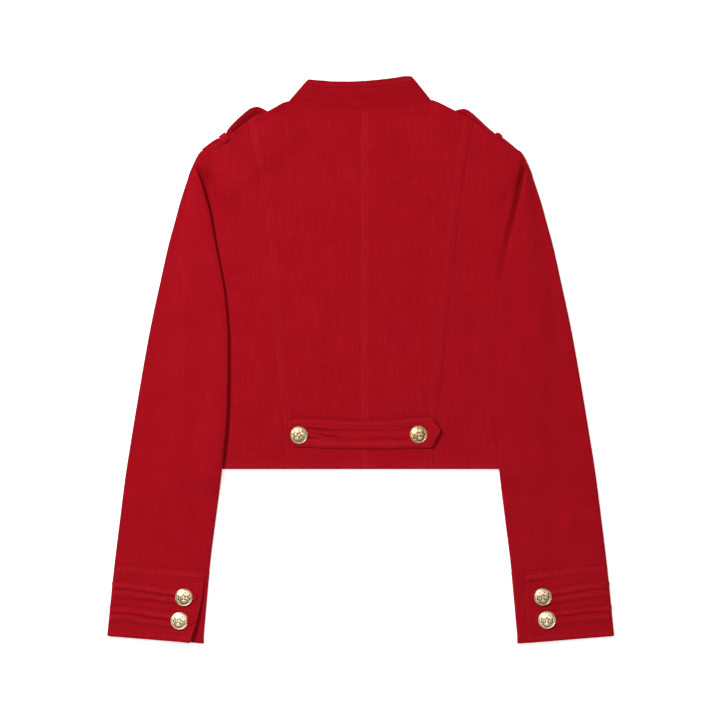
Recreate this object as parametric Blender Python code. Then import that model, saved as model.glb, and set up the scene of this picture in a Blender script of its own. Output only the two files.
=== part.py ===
"""Cropped military-style jacket with a stand collar, laid flat face down.

Its back is up and its collar points to +Y. Sizes are in millimetres in the garment's own frame: X is
0 on the centre-back seam, Y runs from the hem towards the collar, Z is the height over the surface
that the jacket lies on. Each piece of cloth is a sheet through its middle surface, thickened by
Solidify, and its neighbours start SEAM_GAP away. Tables give |X|, the distance from the centre-back
line, because both halves of the jacket have the same cut.
"""
import math

import bmesh
import bpy
from mathutils import Vector

MM = 0.001
SEAM_GAP = 0.3

# Driving sizes.
CLOTH = 1.3                # one ply of cotton drill with its seam turnings
DOUBLE = 2.0               # two plies: collar, cuffs, straps
TAB_THICK = 1.6
BELT_THICK = 2.2
KEEPER_THICK = 1.0
BACK_LEVEL = 4.7           # middle of the back panels over the floor
NECK_SIDE_X = 85.0         # neck point of the shoulder line
BACK_NECK_Y = 302.4        # centre of the collar's base seam
FRONT_NECK_Y = 240.0       # centre of the front neckline
UNDERARM_X = 210.0
UNDERARM_Y = 72.0
HEM_SIDE_X = 206.0
HEM_Y = -131.0
FRONT_LAP = 10.0           # how far each front passes the centre line
LAP_RAMP = (15.0, 40.0)    # where the upper front comes down beside the lower one
COLLAR_HEIGHT = 31.5
BUTTON_D = 21.4
BUTTON_HEIGHT = 3.8
STRAP_WIDTH = 46.0
KEEPER_AT = 54.0           # distance of the keeper from the strap's outer corner
KEEPER_WIDTH = 9.0

RED = (0.38, 0.010, 0.018, 1.0)
GOLD = (0.72, 0.56, 0.36, 1.0)

# Turns of a folded edge, in degrees, from the seam on the edge to the flat cloth.
FOLD_ANGLES = (17.0, 40.0, 64.0, 90.0)
EDGE_STEP = 0.8            # column spacing along an edge that isn't folded


def table(columns, *rows):
    """A short table: one dict per row, with the named columns."""
    names = columns.split()
    return [dict(zip(names, row)) for row in rows]


def read(rows, column, at, key="y"):
    """A smooth curve through a table's column that never overshoots its rows."""
    rows = sorted(rows, key=lambda row: row[key])
    xs = [row[key] for row in rows]
    ys = [row[column] for row in rows]
    if at <= xs[0]:
        return ys[0]
    if at >= xs[-1]:
        return ys[-1]
    steps = [b - a for a, b in zip(xs, xs[1:])]
    slopes = [(b - a) / h for a, b, h in zip(ys, ys[1:], steps)]
    tangents = [slopes[0]]
    for before, after in zip(slopes, slopes[1:]):
        same = before * after > 0
        tangents.append(2 * before * after / (before + after) if same else 0.0)
    tangents.append(slopes[-1])
    i = max(k for k in range(len(steps)) if xs[k] <= at)
    t = (at - xs[i]) / steps[i]
    h00 = (1 + 2 * t) * (1 - t) ** 2
    h10 = t * (1 - t) ** 2
    h01 = t * t * (3 - 2 * t)
    h11 = t * t * (t - 1)
    return (h00 * ys[i] + h10 * steps[i] * tangents[i]
            + h01 * ys[i + 1] + h11 * steps[i] * tangents[i + 1])


def lerp(a, b, t):
    return a + (b - a) * t


def ease(low, high, value):
    """0 below low, 1 above high, smooth between; low may be above high."""
    t = min(1.0, max(0.0, (value - low) / (high - low)))
    return t * t * (3 - 2 * t)


# ---------------------------------------------------------------- cut lines

# The armhole seam of front and back, from the shoulder point to the underarm.
ARMHOLE = table(
    "y       x",
    (252.0, 189.6),
    (247.2, 182.9),
    (226.8, 178.2),
    (204.0, 175.9),
    (186.0, 174.8),
    (162.0, 176.6),
    (132.0, 183.0),
    (98.0, 195.0),
    (84.0, 203.0),
    (72.0, 210.0),
)

# The shoulder's fold line, from the neck point to the shoulder point; it dips under the keeper.
SHOULDER = table(
    "x       left   right",
    (85.0, 309.5, 312.0),
    (92.0, 308.6, 310.2),
    (97.0, 306.6, 307.2),
    (108.0, 300.8, 300.8),
    (128.0, 292.6, 292.2),
    (140.0, 285.0, 284.6),
    (156.0, 273.4, 273.4),
    (170.0, 261.8, 262.6),
    (184.0, 254.6, 254.6),
    (189.6, 252.0, 252.0),
)

# The princess seam of the back, from the shoulder to the hem.
PRINCESS = table(
    "y       left    right",
    (287.0, 136.4, 135.0),
    (261.6, 130.1, 130.3),
    (238.8, 125.4, 125.8),
    (186.0, 115.2, 118.6),
    (132.0, 109.9, 113.2),
    (60.0, 105.6, 104.9),
    (0.0, 101.3, 98.0),
    (-65.0, 94.0, 92.3),
    (-131.0, 90.0, 85.9),
)

# The sleeve's two folds: the outer one is its outline, the inner one lies over the back.
SLEEVE = table(
    "y       outer  left   right  tuck",
    (252.0, 193.5, 186.0, 190.0, 196.0),
    (240.0, 198.4, 192.0, 196.0, 199.5),
    (231.6, 201.6, 194.6, 197.6, 201.0),
    (208.8, 210.0, 187.2, 193.2, 202.5),
    (186.0, 217.4, 182.4, 188.4, 202.0),
    (169.2, 222.0, 178.8, 184.4, 201.0),
    (134.4, 231.4, 172.8, 175.6, 202.0),
    (91.2, 241.0, 164.6, 168.0, 208.0),
    (61.2, 247.6, 160.8, 162.8, 214.0),
    (27.6, 254.4, 158.5, 160.2, 214.0),
    (0.0, 259.4, 158.4, 159.6, 214.0),
    (-64.8, 270.4, 159.6, 160.6, 214.0),
    (-90.0, 274.5, 161.5, 162.0, 214.0),
    (-138.0, 282.1, 166.8, 166.6, 214.0),
    (-187.2, 288.4, 173.4, 172.8, 214.0),
    (-244.8, 295.4, 180.7, 180.0, 214.0),
    (-331.6, 304.2, 188.6, 188.2, 214.0),
)

# The half belt's edges across the back; its ends are pointed.
BELT = table(
    "x       top     bottom",
    (-91.6, -84.4, -86.0),
    (-87.0, -78.0, -94.0),
    (-80.0, -71.4, -103.8),
    (-60.0, -71.8, -104.6),
    (-30.0, -73.2, -106.0),
    (0.0, -74.4, -106.6),
    (40.0, -73.0, -106.4),
    (65.0, -70.6, -105.6),
    (84.0, -69.4, -105.1),
    (90.0, -77.0, -96.0),
    (95.0, -84.4, -86.0),
)

# Cuff tabs: where each starts on the outer fold, the button and the pointed end.
TABS = table(
    "name     y_start  x_left  x_right  y_left   y_right  tip",
    ("upper", -276.0, 212.0, 218.5, -284.9, -284.4, 16.0),
    ("lower", -304.7, 217.3, 223.4, -313.1, -312.1, 18.0),
)

# The edge of the cuff's overlap, as |X| at the cuff's top and bottom.
CUFF_EDGE = {"left": (190.5, 203.2), "right": (195.0, 200.4)}


def side_of(x):
    return "left" if x < 0 else "right"


def signed(side, x):
    return -x if side == "left" else x


def body_edge_x(y):
    """|X| of the armhole, and below it of the side seam's fold."""
    if y >= UNDERARM_Y:
        return read(ARMHOLE, "x", y)
    return lerp(UNDERARM_X, HEM_SIDE_X, (UNDERARM_Y - y) / (UNDERARM_Y - HEM_Y))


def neck_side_y(side):
    return SHOULDER[0][side]


def shoulder_y(x):
    return read(SHOULDER, side_of(x), abs(x), key="x")


def back_top_y(x):
    """Top edge of the back: the neckline, then the shoulder."""
    if abs(x) < NECK_SIDE_X:
        return lerp(BACK_NECK_Y, neck_side_y(side_of(x)), (abs(x) / NECK_SIDE_X) ** 2.3)
    return shoulder_y(x)


def front_top_y(x):
    """Top edge of the front: its low neckline, then the shoulder."""
    if abs(x) < NECK_SIDE_X:
        return lerp(FRONT_NECK_Y, neck_side_y(side_of(x)), (abs(x) / NECK_SIDE_X) ** 2.2)
    return shoulder_y(x)


# ------------------------------------------------------------------ heights

# The epaulette's outer corner and its end in the armhole, as |X| and Y.
STRAP_CORNER = Vector((124.3, 303.4))
STRAP_END = Vector((192.0, 250.6))
STRAP_LENGTH = (STRAP_END - STRAP_CORNER).length
STRAP_DIRECTION = (STRAP_END - STRAP_CORNER).normalized()
STRAP_INWARD = Vector((STRAP_DIRECTION.y, -STRAP_DIRECTION.x))
STRAP_RISE = 3.6           # how far the strap and its keeper lift the front
BACK_RISE = 3.4            # and the back above it


def lift(x, y):
    """1 over an epaulette, 0 away from it."""
    offset = Vector((abs(x), y)) - STRAP_CORNER
    along = offset.dot(STRAP_DIRECTION)
    inward = offset.dot(STRAP_INWARD)
    return ease(-34.0, -12.0, along) * ease(112.0, 92.0, along) * ease(78.0, 52.0, inward)


def front_level(x, y):
    return CLOTH / 2 + STRAP_RISE * lift(x, y)


def waves(x, y):
    """Slack in cloth that lies flat: long shallow swells, different on each side."""
    return 0.5 * math.sin(x / 41.0 + y / 67.0) + 0.5 * math.sin(x / 71.0 - y / 39.0 + 1.3)


def back_level(x, y):
    return BACK_LEVEL + BACK_RISE * lift(x, y) + 0.3 * waves(x, y)


UNDER_RUN = 1.9            # from the back's middle to that of the sleeve's lower layer
SLEEVE_BULK = 2.2          # from the sleeve's lower layer to its upper one, on the body
SLEEVE_LOFT = 4.5          # the same where it lies on the floor
SIDE_RAMP = (212.5, 226.0)  # where the lower layer comes down beside the body
HEM_RAMP = (-172.0, -134.0)  # and where it comes down past the hem


def sleeve_low_level(x, y):
    """Lower layer of the closed sleeve: on the body inside, on the floor outside."""
    on_body = ease(SIDE_RAMP[1], SIDE_RAMP[0], abs(x)) * ease(*HEM_RAMP, y)
    return lerp(CLOTH / 2, back_level(x, y) + UNDER_RUN, on_body)


def sleeve_top_level(x, y, tuck, outer):
    """Upper layer of the sleeve, which slopes from the stack on the body to the floor."""
    far = max(min(tuck + 24.0, outer - 2.0), tuck + 3.0)
    on_body = ease(far, tuck - 5.0, abs(x)) * ease(*HEM_RAMP, y)
    stack = back_level(x, y) + UNDER_RUN + SLEEVE_BULK
    floor = CLOTH / 2 + SLEEVE_LOFT + 0.5 * waves(1.7 * x, y)
    return lerp(floor, stack, on_body)


# ------------------------------------------------------------------- meshes


def material(name, colour, roughness, metallic):
    found = bpy.data.materials.get(name)
    if found:
        return found
    made = bpy.data.materials.new(name)
    made.use_nodes = True
    shader = made.node_tree.nodes["Principled BSDF"]
    shader.inputs["Base Color"].default_value = colour
    shader.inputs["Roughness"].default_value = roughness
    shader.inputs["Metallic"].default_value = metallic
    return made


def add_object(name, mesh, made):
    mesh.materials.append(made)
    thing = bpy.data.objects.new(name, mesh)
    bpy.context.scene.collection.objects.link(thing)
    return thing


def cloth(name, grid, thickness, tube_from=None):
    """A sheet through a grid of points, thickened both ways.

    From row tube_from on, the last column meets the first, so those rows form a tube.
    """
    bm = bmesh.new()
    lines = []
    for index, row in enumerate(grid):
        tube = tube_from is not None and index >= tube_from
        line = [bm.verts.new(Vector(point) * MM) for point in (row[:-1] if tube else row)]
        lines.append(line + [line[0]] if tube else line)
    for low, high in zip(lines, lines[1:]):
        for j in range(len(low) - 1):
            bm.faces.new((low[j], low[j + 1], high[j + 1], high[j]))
    mesh = bpy.data.meshes.new(name)
    bm.to_mesh(mesh)
    bm.free()
    mesh.shade_smooth()
    thing = add_object(name, mesh, material("red_drill_" + name, RED, 0.85, 0.0))
    solid = thing.modifiers.new("thickness", "SOLIDIFY")
    solid.thickness = thickness * MM
    solid.offset = 0.0
    solid.use_quality_normals = True
    return thing


# --------------------------------------------------------------------- body

# Rows down the armhole, shared by the body and the sleeve, so that their edges run side by side.
ARMHOLE_ROWS = (251.2, 247.0, 241.0, 234.0, 224.0, 210.0, 192.0, 172.0, 151.0, 130.0, 110.0, 92.0,
                78.0)
BODY_ROWS = (270.0, 258.0) + ARMHOLE_ROWS + (UNDERARM_Y, 50.0, 25.0, 0.0, -30.0, -60.0, -90.0, -112.0,
                                             HEM_Y)


def fold_edge(x, y, angle, upper):
    """Inset from the body's folded edge, and height, at an angle of the fold's turn."""
    top = back_level(x, y)
    low = front_level(x, y)
    radius = (top - low) / 2
    turn = math.radians(angle)
    rise = radius * math.sin(turn)
    return radius * (1 - math.cos(turn)), (top + low) / 2 + (rise if upper else -rise)


def body_panel(name, side, upper, near_x, far_x, top_y, columns, ends_at_side=False, raised=0.0):
    """A panel of the body between two upright lines, near_x(y) and far_x(y), from top_y to the hem.

    Its top edge rolls round the shoulder's fold, and with ends_at_side its far edge rolls round
    the side's. raised lifts the near edge over the other front's lap.
    """
    level = back_level if upper else front_level
    shares = [k / columns for k in range(columns + 1)]

    def place(share, height, step_back):
        """|X| and Y at a share of the row and a share of the panel's height."""
        x, y = near_x(0.0), 0.0
        for _ in range(12):
            y = lerp(HEM_Y, top_y(signed(side, x)) - 2.0, height)
            x = lerp(near_x(y), far_x(y) - step_back, share)
        return x, y

    grid = []
    heights = [(1.0, angle) for angle in FOLD_ANGLES[:-1]] + [(1.0, None)]
    for y in BODY_ROWS:
        top = top_y(signed(side, far_x(y))) - 2.0
        if y < top:
            heights.append(((y - HEM_Y) / (top - HEM_Y), None))
    for height, angle in heights:
        edge_y = place(1.0, height, 0.0)[1]
        folded = ends_at_side and edge_y <= UNDERARM_Y + 0.5
        flat_edge = EDGE_STEP * (len(FOLD_ANGLES) - 1) if ends_at_side else 0.0
        step_back = 2.1 if folded else flat_edge
        row = []
        for share in shares:
            x, y = place(share, height, step_back)
            row.append((x, y, None))
        if ends_at_side:
            far = far_x(edge_y)
            for k, turn in enumerate(reversed(FOLD_ANGLES[:-1])):
                if folded:
                    inset, z = fold_edge(signed(side, far), edge_y, turn, upper)
                    row.append((far - inset, edge_y, z))
                else:
                    row.append((far - EDGE_STEP * (len(FOLD_ANGLES) - 2 - k), edge_y, None))
        line = []
        for x, y, z in row:
            at = signed(side, x)
            if angle is not None:
                edge = top_y(at)
                inset, rolled = fold_edge(at, edge, angle, upper)
                strength = ease(NECK_SIDE_X - 3.0, NECK_SIDE_X + 5.0, x)
                y = edge - lerp(2.0 * (angle - FOLD_ANGLES[0]) / 90.0, inset, strength)
                z = lerp(level(at, y), rolled, strength)
            if z is None:
                z = level(at, y)
            z += raised * ease(LAP_RAMP[1], LAP_RAMP[0], x)
            line.append((at, y, z))
        grid.append(line)
    return cloth(name, grid, CLOTH)


def build_body():
    for side in ("left", "right"):
        def centre(y):
            return SEAM_GAP / 2

        def princess_inner(y):
            return read(PRINCESS, side, y) - SEAM_GAP / 2

        def princess_outer(y):
            return read(PRINCESS, side, y) + SEAM_GAP / 2

        def lapped(y):
            return -FRONT_LAP

        body_panel("back_centre_" + side, side, True, centre, princess_inner, back_top_y, 8)
        body_panel("back_side_" + side, side, True, princess_outer, body_edge_x, back_top_y, 6,
                   ends_at_side=True)
        raised = CLOTH + SEAM_GAP if side == "left" else 0.0
        body_panel("front_" + side, side, False, lapped, body_edge_x, front_top_y, 9,
                   ends_at_side=True, raised=raised)


# ------------------------------------------------------------------- sleeve

# The sleeve's cross-sections by the Y of its outer fold; those past the underarm are tubes.
TUBE_ROWS = (67.0, 45.0, 10.0, -35.0, -80.0, -115.0, -133.0, -145.0, -158.0, -172.0, -205.0, -246.0)
CUFF_SLOPE = 0.08          # the cuff's seam is lower at the sleeve's inner fold
SEAM_X = 219.0             # the underarm seam, under the sleeve


def slope_at(y):
    return CUFF_SLOPE * ease(-150.0, -246.0, y)


def arc(x, z, radius, start, end, count):
    """count points of a round turn, without its first one."""
    points = []
    for k in range(1, count + 1):
        turn = math.radians(lerp(start, end, k / count))
        points.append((x + radius * math.cos(turn), z + radius * math.sin(turn)))
    return points


def run(x_from, x_to, level, count):
    """count points of a layer from one |X| to another, without its first one."""
    spots = [lerp(x_from, x_to, k / count) for k in range(1, count + 1)]
    return [(x, level(x)) for x in spots]


def sleeve_section(side, y):
    """Points (|X|, height) from the seam round the sleeve and back to the seam."""
    outer = read(SLEEVE, "outer", y) - CLOTH / 2
    inner = read(SLEEVE, side, y - slope_at(y) * 110.0) + CLOTH / 2
    tuck = read(SLEEVE, "tuck", y)

    def low(x):
        return sleeve_low_level(signed(side, x), y)

    def top(x):
        return sleeve_top_level(signed(side, x), y, tuck, outer)

    def strip(x):
        return back_level(signed(side, x), y)

    def laid(x):
        return strip(x) + UNDER_RUN

    def floor(x):
        return front_level(signed(side, x), y)

    open_row = y > UNDERARM_Y
    under = laid if open_row else low
    inner_turn = (top(inner) - under(inner)) / 2
    fold = inner + inner_turn
    outer_turn = (top(outer) - CLOTH / 2) / 2
    rim = outer - outer_turn
    inner_mid = (top(fold) + under(fold)) / 2
    outer_low = CLOTH / 2 if not open_row else floor(rim)
    outer_mid = (top(rim) + outer_low) / 2
    outer_turn = (top(rim) - outer_low) / 2
    around = arc(fold, inner_mid, inner_turn, 270.0, 90.0, 4)
    upper = run(fold, rim, top, 6) + arc(rim, outer_mid, outer_turn, 90.0, -90.0, 5)
    if not open_row:
        path = [(SEAM_X, low(SEAM_X))] + run(SEAM_X, SIDE_RAMP[0], low, 5)
        path += run(SIDE_RAMP[0], fold, low, 3) + around + upper
        return path + run(rim, SEAM_X, low, 5)
    start = read(ARMHOLE, "x", y) + 0.6 + 2.4 * ease(120.0, 78.0, y) + 1.3 * ease(236.0, 250.0, y)
    tuck_turn = UNDER_RUN / 2
    hidden = max(tuck - tuck_turn, start + 1.2)
    path = [(start, strip(start))] + run(start, hidden, strip, 3)
    path += arc(hidden, strip(hidden) + tuck_turn, tuck_turn, -90.0, 90.0, 2)
    path += run(hidden, fold, laid, 3) + around + upper
    # Above the fold's start the cloth is one smooth layer out to the outline.
    folded = ease(247.0, 224.0, y)
    plain_turn = (strip(rim) - floor(rim)) / 2
    edge = outer - plain_turn
    plain = [(start, strip(start))] + run(start, edge, strip, 18)
    plain += arc(edge, (strip(edge) + floor(edge)) / 2, plain_turn, 90.0, -90.0, 5)
    path = [(lerp(a, c, folded), lerp(b, d, folded)) for (a, b), (c, d) in zip(plain, path)]
    last = path[-1][0]
    return path + run(last, start, floor, 5)


def build_sleeve(side):
    grid = []
    for y in ARMHOLE_ROWS + TUBE_ROWS:
        outer = read(SLEEVE, "outer", y)
        line = []
        for x, z in sleeve_section(side, y):
            line.append((signed(side, x), y - slope_at(y) * (outer - x), z))
        grid.append(line)
    cloth("sleeve_" + side, grid, CLOTH, tube_from=len(ARMHOLE_ROWS))


# --------------------------------------------------------------------- cuff

CUFF_TOP_Y = -246.4        # the cuff's seam at the outer fold
CUFF_BOTTOM_Y = -331.0
CUFF_FLAT = 5.8            # middle of the cuff's upper layer over the floor
CUFF_UNDERLAP = 4.3        # middle of the underlap
CUFF_OVERLAP = 6.8         # middle of the overlap, on the underlap
UNDERLAP_LENGTH = 17.0


def cuff_edge_x(side, share):
    top, bottom = CUFF_EDGE[side]
    return lerp(top, bottom, share)


def cuff_level(x, edge):
    """Upper layer of the cuff: it climbs on to the underlap near its edge."""
    return lerp(CUFF_FLAT, CUFF_OVERLAP, ease(edge + 42.0, edge + UNDERLAP_LENGTH + 1.5, x))


def build_cuff(side):
    grid = []
    for share in (0.0, 0.33, 0.67, 1.0):
        y = lerp(CUFF_TOP_Y, CUFF_BOTTOM_Y, share)
        outer = read(SLEEVE, "outer", y) - DOUBLE / 2 + 0.3
        inner = read(SLEEVE, side, y - 9.0) + DOUBLE / 2 - 0.3
        edge = cuff_edge_x(side, share)
        low = DOUBLE / 2
        inner_turn = (CUFF_UNDERLAP - low) / 2
        outer_turn = (CUFF_FLAT - low) / 2
        path = [(edge + UNDERLAP_LENGTH, CUFF_UNDERLAP)]
        path += run(path[0][0], inner + inner_turn, lambda x: CUFF_UNDERLAP, 3)
        path += arc(inner + inner_turn, low + inner_turn, inner_turn, 90.0, 270.0, 4)
        path += run(inner + inner_turn, outer - outer_turn, lambda x: low, 5)
        path += arc(outer - outer_turn, low + outer_turn, outer_turn, -90.0, 90.0, 5)
        path += run(outer - outer_turn, edge, lambda x: cuff_level(x, edge), 9)
        grid.append([(signed(side, x), y - CUFF_SLOPE * (outer - x), z) for x, z in path])
    cloth("cuff_" + side, grid, DOUBLE)


TAB_WIDTH = 19.0
TAB_POINT = 8.0            # length of the pointed end
TAB_PUFF = 0.35            # the two halves of a tab swell beside its middle crease


def build_tab(side, tab):
    name = "cuff_tab_{}_{}".format(tab["name"], side)
    button_x, button_y = tab["x_" + side], tab["y_" + side]
    share = (CUFF_TOP_Y - button_y) / (CUFF_TOP_Y - CUFF_BOTTOM_Y)
    edge = cuff_edge_x(side, share)
    start_x = read(SLEEVE, "outer", tab["y_start"]) - 5.0
    tip_x = button_x - tab["tip"]
    spots = [lerp(start_x, tip_x + TAB_POINT, k / 8) for k in range(9)]
    spots += [tip_x + TAB_POINT / 2, tip_x]
    base = DOUBLE / 2 + SEAM_GAP + TAB_THICK / 2
    grid = []
    for x in spots:
        middle = lerp(tab["y_start"], button_y, ease(start_x, button_x, x))
        half = TAB_WIDTH / 2 * min(1.0, 0.08 + 0.92 * (x - tip_x) / TAB_POINT)
        line = []
        for across in (-1.0, -0.5, 0.0, 0.5, 1.0):
            puff = TAB_PUFF * math.sin(math.pi * abs(across))
            line.append((signed(side, x), middle + half * across, cuff_level(x, edge) + base + puff))
        grid.append(line)
    cloth(name, grid, TAB_THICK)
    top = cuff_level(button_x, edge) + base + TAB_THICK / 2 + TAB_PUFF
    build_button("button_cuff_{}_{}".format(tab["name"], side), signed(side, button_x), button_y, top)


# ------------------------------------------------------------ belt, buttons

BELT_PUFF = 0.5            # the middle of the half belt swells between its stitched edges
BELT_BUTTONS = table(
    "name     x      y",
    ("left", -74.0, -90.5),
    ("right", 69.4, -89.6),
)


def build_belt():
    base = CLOTH / 2 + SEAM_GAP + BELT_THICK / 2
    xs = [row["x"] for row in BELT]
    spots = []
    for low, high in zip(xs, xs[1:]):
        pieces = max(1, round((high - low) / 14.0))
        spots += [lerp(low, high, k / pieces) for k in range(pieces)]
    spots.append(xs[-1])
    grid = []
    for x in spots:
        top = read(BELT, "top", x, key="x")
        bottom = read(BELT, "bottom", x, key="x")
        line = []
        for share in (0.0, 0.22, 0.4, 0.6, 0.78, 1.0):
            y = lerp(top, bottom, share)
            puff = BELT_PUFF * ease(0.2, 0.4, share) * ease(0.8, 0.6, share)
            line.append((x, y, back_level(x, y) + base + puff))
        grid.append(line)
    cloth("half_belt", grid, BELT_THICK)
    for button in BELT_BUTTONS:
        x, y = button["x"], button["y"]
        top = back_level(x, y) + base + BELT_THICK / 2 + BELT_PUFF
        build_button("button_belt_" + button["name"], x, y, top)


# A button's upper surface, from its middle out: share of its radius, height, and how far its
# petals stand.
BUTTON_RINGS = table(
    "share height petal",
    (0.24, 3.5, 0.0),
    (0.49, 3.1, 0.22),
    (0.77, 2.3, 0.18),
    (0.86, 2.7, 0.0),
    (0.95, 2.3, 0.0),
    (1.00, 1.2, 0.0),
    (0.88, 0.0, 0.0),
)
BUTTON_SIDES = 15
BUTTON_PETALS = 5


def build_button(name, x, y, z):
    """A domed metal button with a raised rim and a plain five-petalled relief."""
    bm = bmesh.new()
    crown = bm.verts.new((0.0, 0.0, BUTTON_HEIGHT * MM))
    rings = []
    for ring in BUTTON_RINGS:
        line = []
        for k in range(BUTTON_SIDES):
            turn = 2 * math.pi * k / BUTTON_SIDES
            height = ring["height"] + ring["petal"] * math.cos(BUTTON_PETALS * turn)
            radius = BUTTON_D / 2 * ring["share"]
            spot = (radius * math.cos(turn), radius * math.sin(turn), height)
            line.append(bm.verts.new(Vector(spot) * MM))
        rings.append(line)
    for k in range(BUTTON_SIDES):
        after = (k + 1) % BUTTON_SIDES
        bm.faces.new((crown, rings[0][k], rings[0][after]))
        for inner, outer in zip(rings, rings[1:]):
            bm.faces.new((inner[k], outer[k], outer[after], inner[after]))
    bm.faces.new(list(reversed(rings[-1])))
    mesh = bpy.data.meshes.new(name)
    bm.to_mesh(mesh)
    bm.free()
    mesh.shade_smooth()
    mesh.set_sharp_from_angle(angle=math.radians(40.0))
    thing = add_object(name, mesh, material("gold_" + name, GOLD, 0.3, 1.0))
    thing.location = Vector((x, y, z + SEAM_GAP)) * MM


# ------------------------------------------------------------------- collar

COLLAR_LOW = DOUBLE / 2    # middle of the collar's front half, on the floor
COLLAR_HIGH = 5.0          # middle of its back half
COLLAR_FRONT_STEPS = 8
COLLAR_BACK_STEPS = 12
COLLAR_TOP = table(
    "x      y",
    (-65.4, 335.0),
    (-50.0, 335.2),
    (-22.0, 333.2),
    (0.0, 333.2),
    (25.0, 335.2),
    (50.0, 339.8),
    (61.8, 338.8),
)
COLLAR_ENDS = {"left": (83.4, 65.4), "right": (81.8, 61.8)}


def collar_back_point(share, height):
    """A point of the collar's back half: share from left to right, height from its seam up."""
    base_x = lerp(-COLLAR_ENDS["left"][0], COLLAR_ENDS["right"][0], share)
    top_x = lerp(-COLLAR_ENDS["left"][1], COLLAR_ENDS["right"][1], share)
    base_y = back_top_y(base_x) + 1.5 * SEAM_GAP
    top_y = read(COLLAR_TOP, "y", top_x, key="x")
    return lerp(base_x, top_x, height), lerp(base_y, top_y, height)


def collar_front_point(side, share, height):
    """A point of the collar's front half: share from the side's fold to the centre front."""
    fold_x, fold_top_x = COLLAR_ENDS[side]
    x = lerp(fold_x - 2.0, 0.6, share)
    y = front_top_y(signed(side, x))
    slope = (front_top_y(signed(side, x + 0.5)) - front_top_y(signed(side, x - 0.5)))
    normal = Vector((-slope, 1.0)).normalized()
    side_top = read(COLLAR_TOP, "y", signed(side, fold_top_x), key="x")
    along_fold = Vector((fold_top_x - fold_x, side_top - neck_side_y(side))).normalized()
    direction = along_fold.lerp(normal, ease(0.0, 0.3, share)).normalized()
    reach = 1.3 + COLLAR_HEIGHT * height
    spot = Vector((x, y)) + direction * reach
    return signed(side, max(spot.x, 0.6)), spot.y


def build_collar():
    radius = (COLLAR_HIGH - COLLAR_LOW) / 2
    middle = (COLLAR_HIGH + COLLAR_LOW) / 2
    grid = []
    for height in (0.0, 0.3, 0.65, 1.0):
        fronts = {}
        folds = {}
        for side, share in (("left", 0.0), ("right", 1.0)):
            spots = [collar_front_point(side, k / COLLAR_FRONT_STEPS, height)
                     for k in range(COLLAR_FRONT_STEPS + 1)]
            fronts[side] = [(x, y, COLLAR_LOW) for x, y in spots]
            x, y = collar_back_point(share, height)
            folds[side] = []
            for turn in (-45.0, 0.0, 45.0):
                bulge = radius * (1 - math.cos(math.radians(turn)))
                rise = radius * math.sin(math.radians(turn))
                folds[side].append((x - signed(side, bulge), y, middle + rise))
        back = []
        for k in range(COLLAR_BACK_STEPS + 1):
            inset = lerp(radius, -radius, k / COLLAR_BACK_STEPS) / (COLLAR_ENDS["left"][0] * 2)
            x, y = collar_back_point(k / COLLAR_BACK_STEPS + inset, height)
            back.append((x, y, COLLAR_HIGH))
        grid.append(fronts["left"][::-1] + folds["left"] + back + folds["right"][::-1]
                    + fronts["right"])
    cloth("collar", grid, DOUBLE)


# --------------------------------------------------------------- epaulettes

STRAP_TIP = 10.8           # how far the point passes the strap's corners
# Its outer edge, as the distance in from the chord of its ends: it bows up past the shoulder's
# fold, and the keeper holds it down.
STRAP_EDGE = table(
    "along  left  right",
    (0.0, 0.0, 1.4),
    (10.0, -2.4, 0.6),
    (19.0, -3.4, 0.9),
    (39.0, -1.1, 2.4),
    (49.5, 2.6, 2.8),
    (60.0, 2.6, 2.8),
    (77.0, 0.6, 1.0),
    (86.0, 0.4, 0.8),
)
STRAP_SLANT = 9.0          # its armhole end is longer on the inner edge
KEEPER_LIFT = 1.45          # the strap rides over the keeper


def strap_spot(side, along, inward):
    spot = STRAP_CORNER + STRAP_DIRECTION * along + STRAP_INWARD * inward
    return signed(side, spot.x), spot.y


def strap_level(along):
    lifted = ease(26.0, 8.0, abs(along - KEEPER_AT))
    return DOUBLE / 2 + KEEPER_LIFT * lifted


def build_epaulette(side):
    grid = []
    stops = [-STRAP_TIP, -STRAP_TIP / 2] + [STRAP_LENGTH * k / 10 for k in range(11)]
    for stop in stops:
        pointed = max(0.0, -stop / STRAP_TIP) * 0.96
        first = lerp(read(STRAP_EDGE, side, stop, key="along"), STRAP_WIDTH / 2, pointed)
        last = lerp(STRAP_WIDTH, STRAP_WIDTH / 2, pointed)
        line = []
        for k in range(6):
            inward = lerp(first, last, k / 5)
            slant = STRAP_SLANT * max(0.0, stop / STRAP_LENGTH) * inward / STRAP_WIDTH
            along = min(stop, STRAP_LENGTH - 3.0) + slant
            x, y = strap_spot(side, along, inward)
            line.append((x, y, strap_level(stop)))
        grid.append(line)
    cloth("epaulette_" + side, grid, DOUBLE)


# The keeper's section across the strap: distance in from its outermost point, and height.
KEEPER_PATH = table(
    "inward height",
    (2.4, 4.5),
    (0.8, 4.4),
    (-0.2, 3.6),
    (-0.5, 2.3),
    (0.4, 1.1),
    (2.0, 0.5),
    (12.0, 0.5),
    (30.0, 0.5),
    (46.8, 0.5),
    (48.4, 1.1),
    (48.9, 2.4),
)


KEEPER_OUT = {"left": 0.9, "right": -0.6}


def build_keeper(side):
    grid = []
    for along in (-KEEPER_WIDTH / 2, 0.0, KEEPER_WIDTH / 2):
        line = []
        for row in KEEPER_PATH:
            outermost = KEEPER_OUT[side] * ease(30.0, 6.0, row["inward"])
            x, y = strap_spot(side, KEEPER_AT + along, row["inward"] + outermost)
            line.append((x, y, row["height"]))
        grid.append(line)
    cloth("keeper_" + side, grid, KEEPER_THICK)


def main():
    for thing in list(bpy.data.objects):
        bpy.data.objects.remove(thing, do_unlink=True)
    build_body()
    build_collar()
    for side in ("left", "right"):
        build_sleeve(side)
        build_cuff(side)
        for tab in TABS:
            build_tab(side, tab)
        build_epaulette(side)
        build_keeper(side)
    build_belt()


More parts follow.
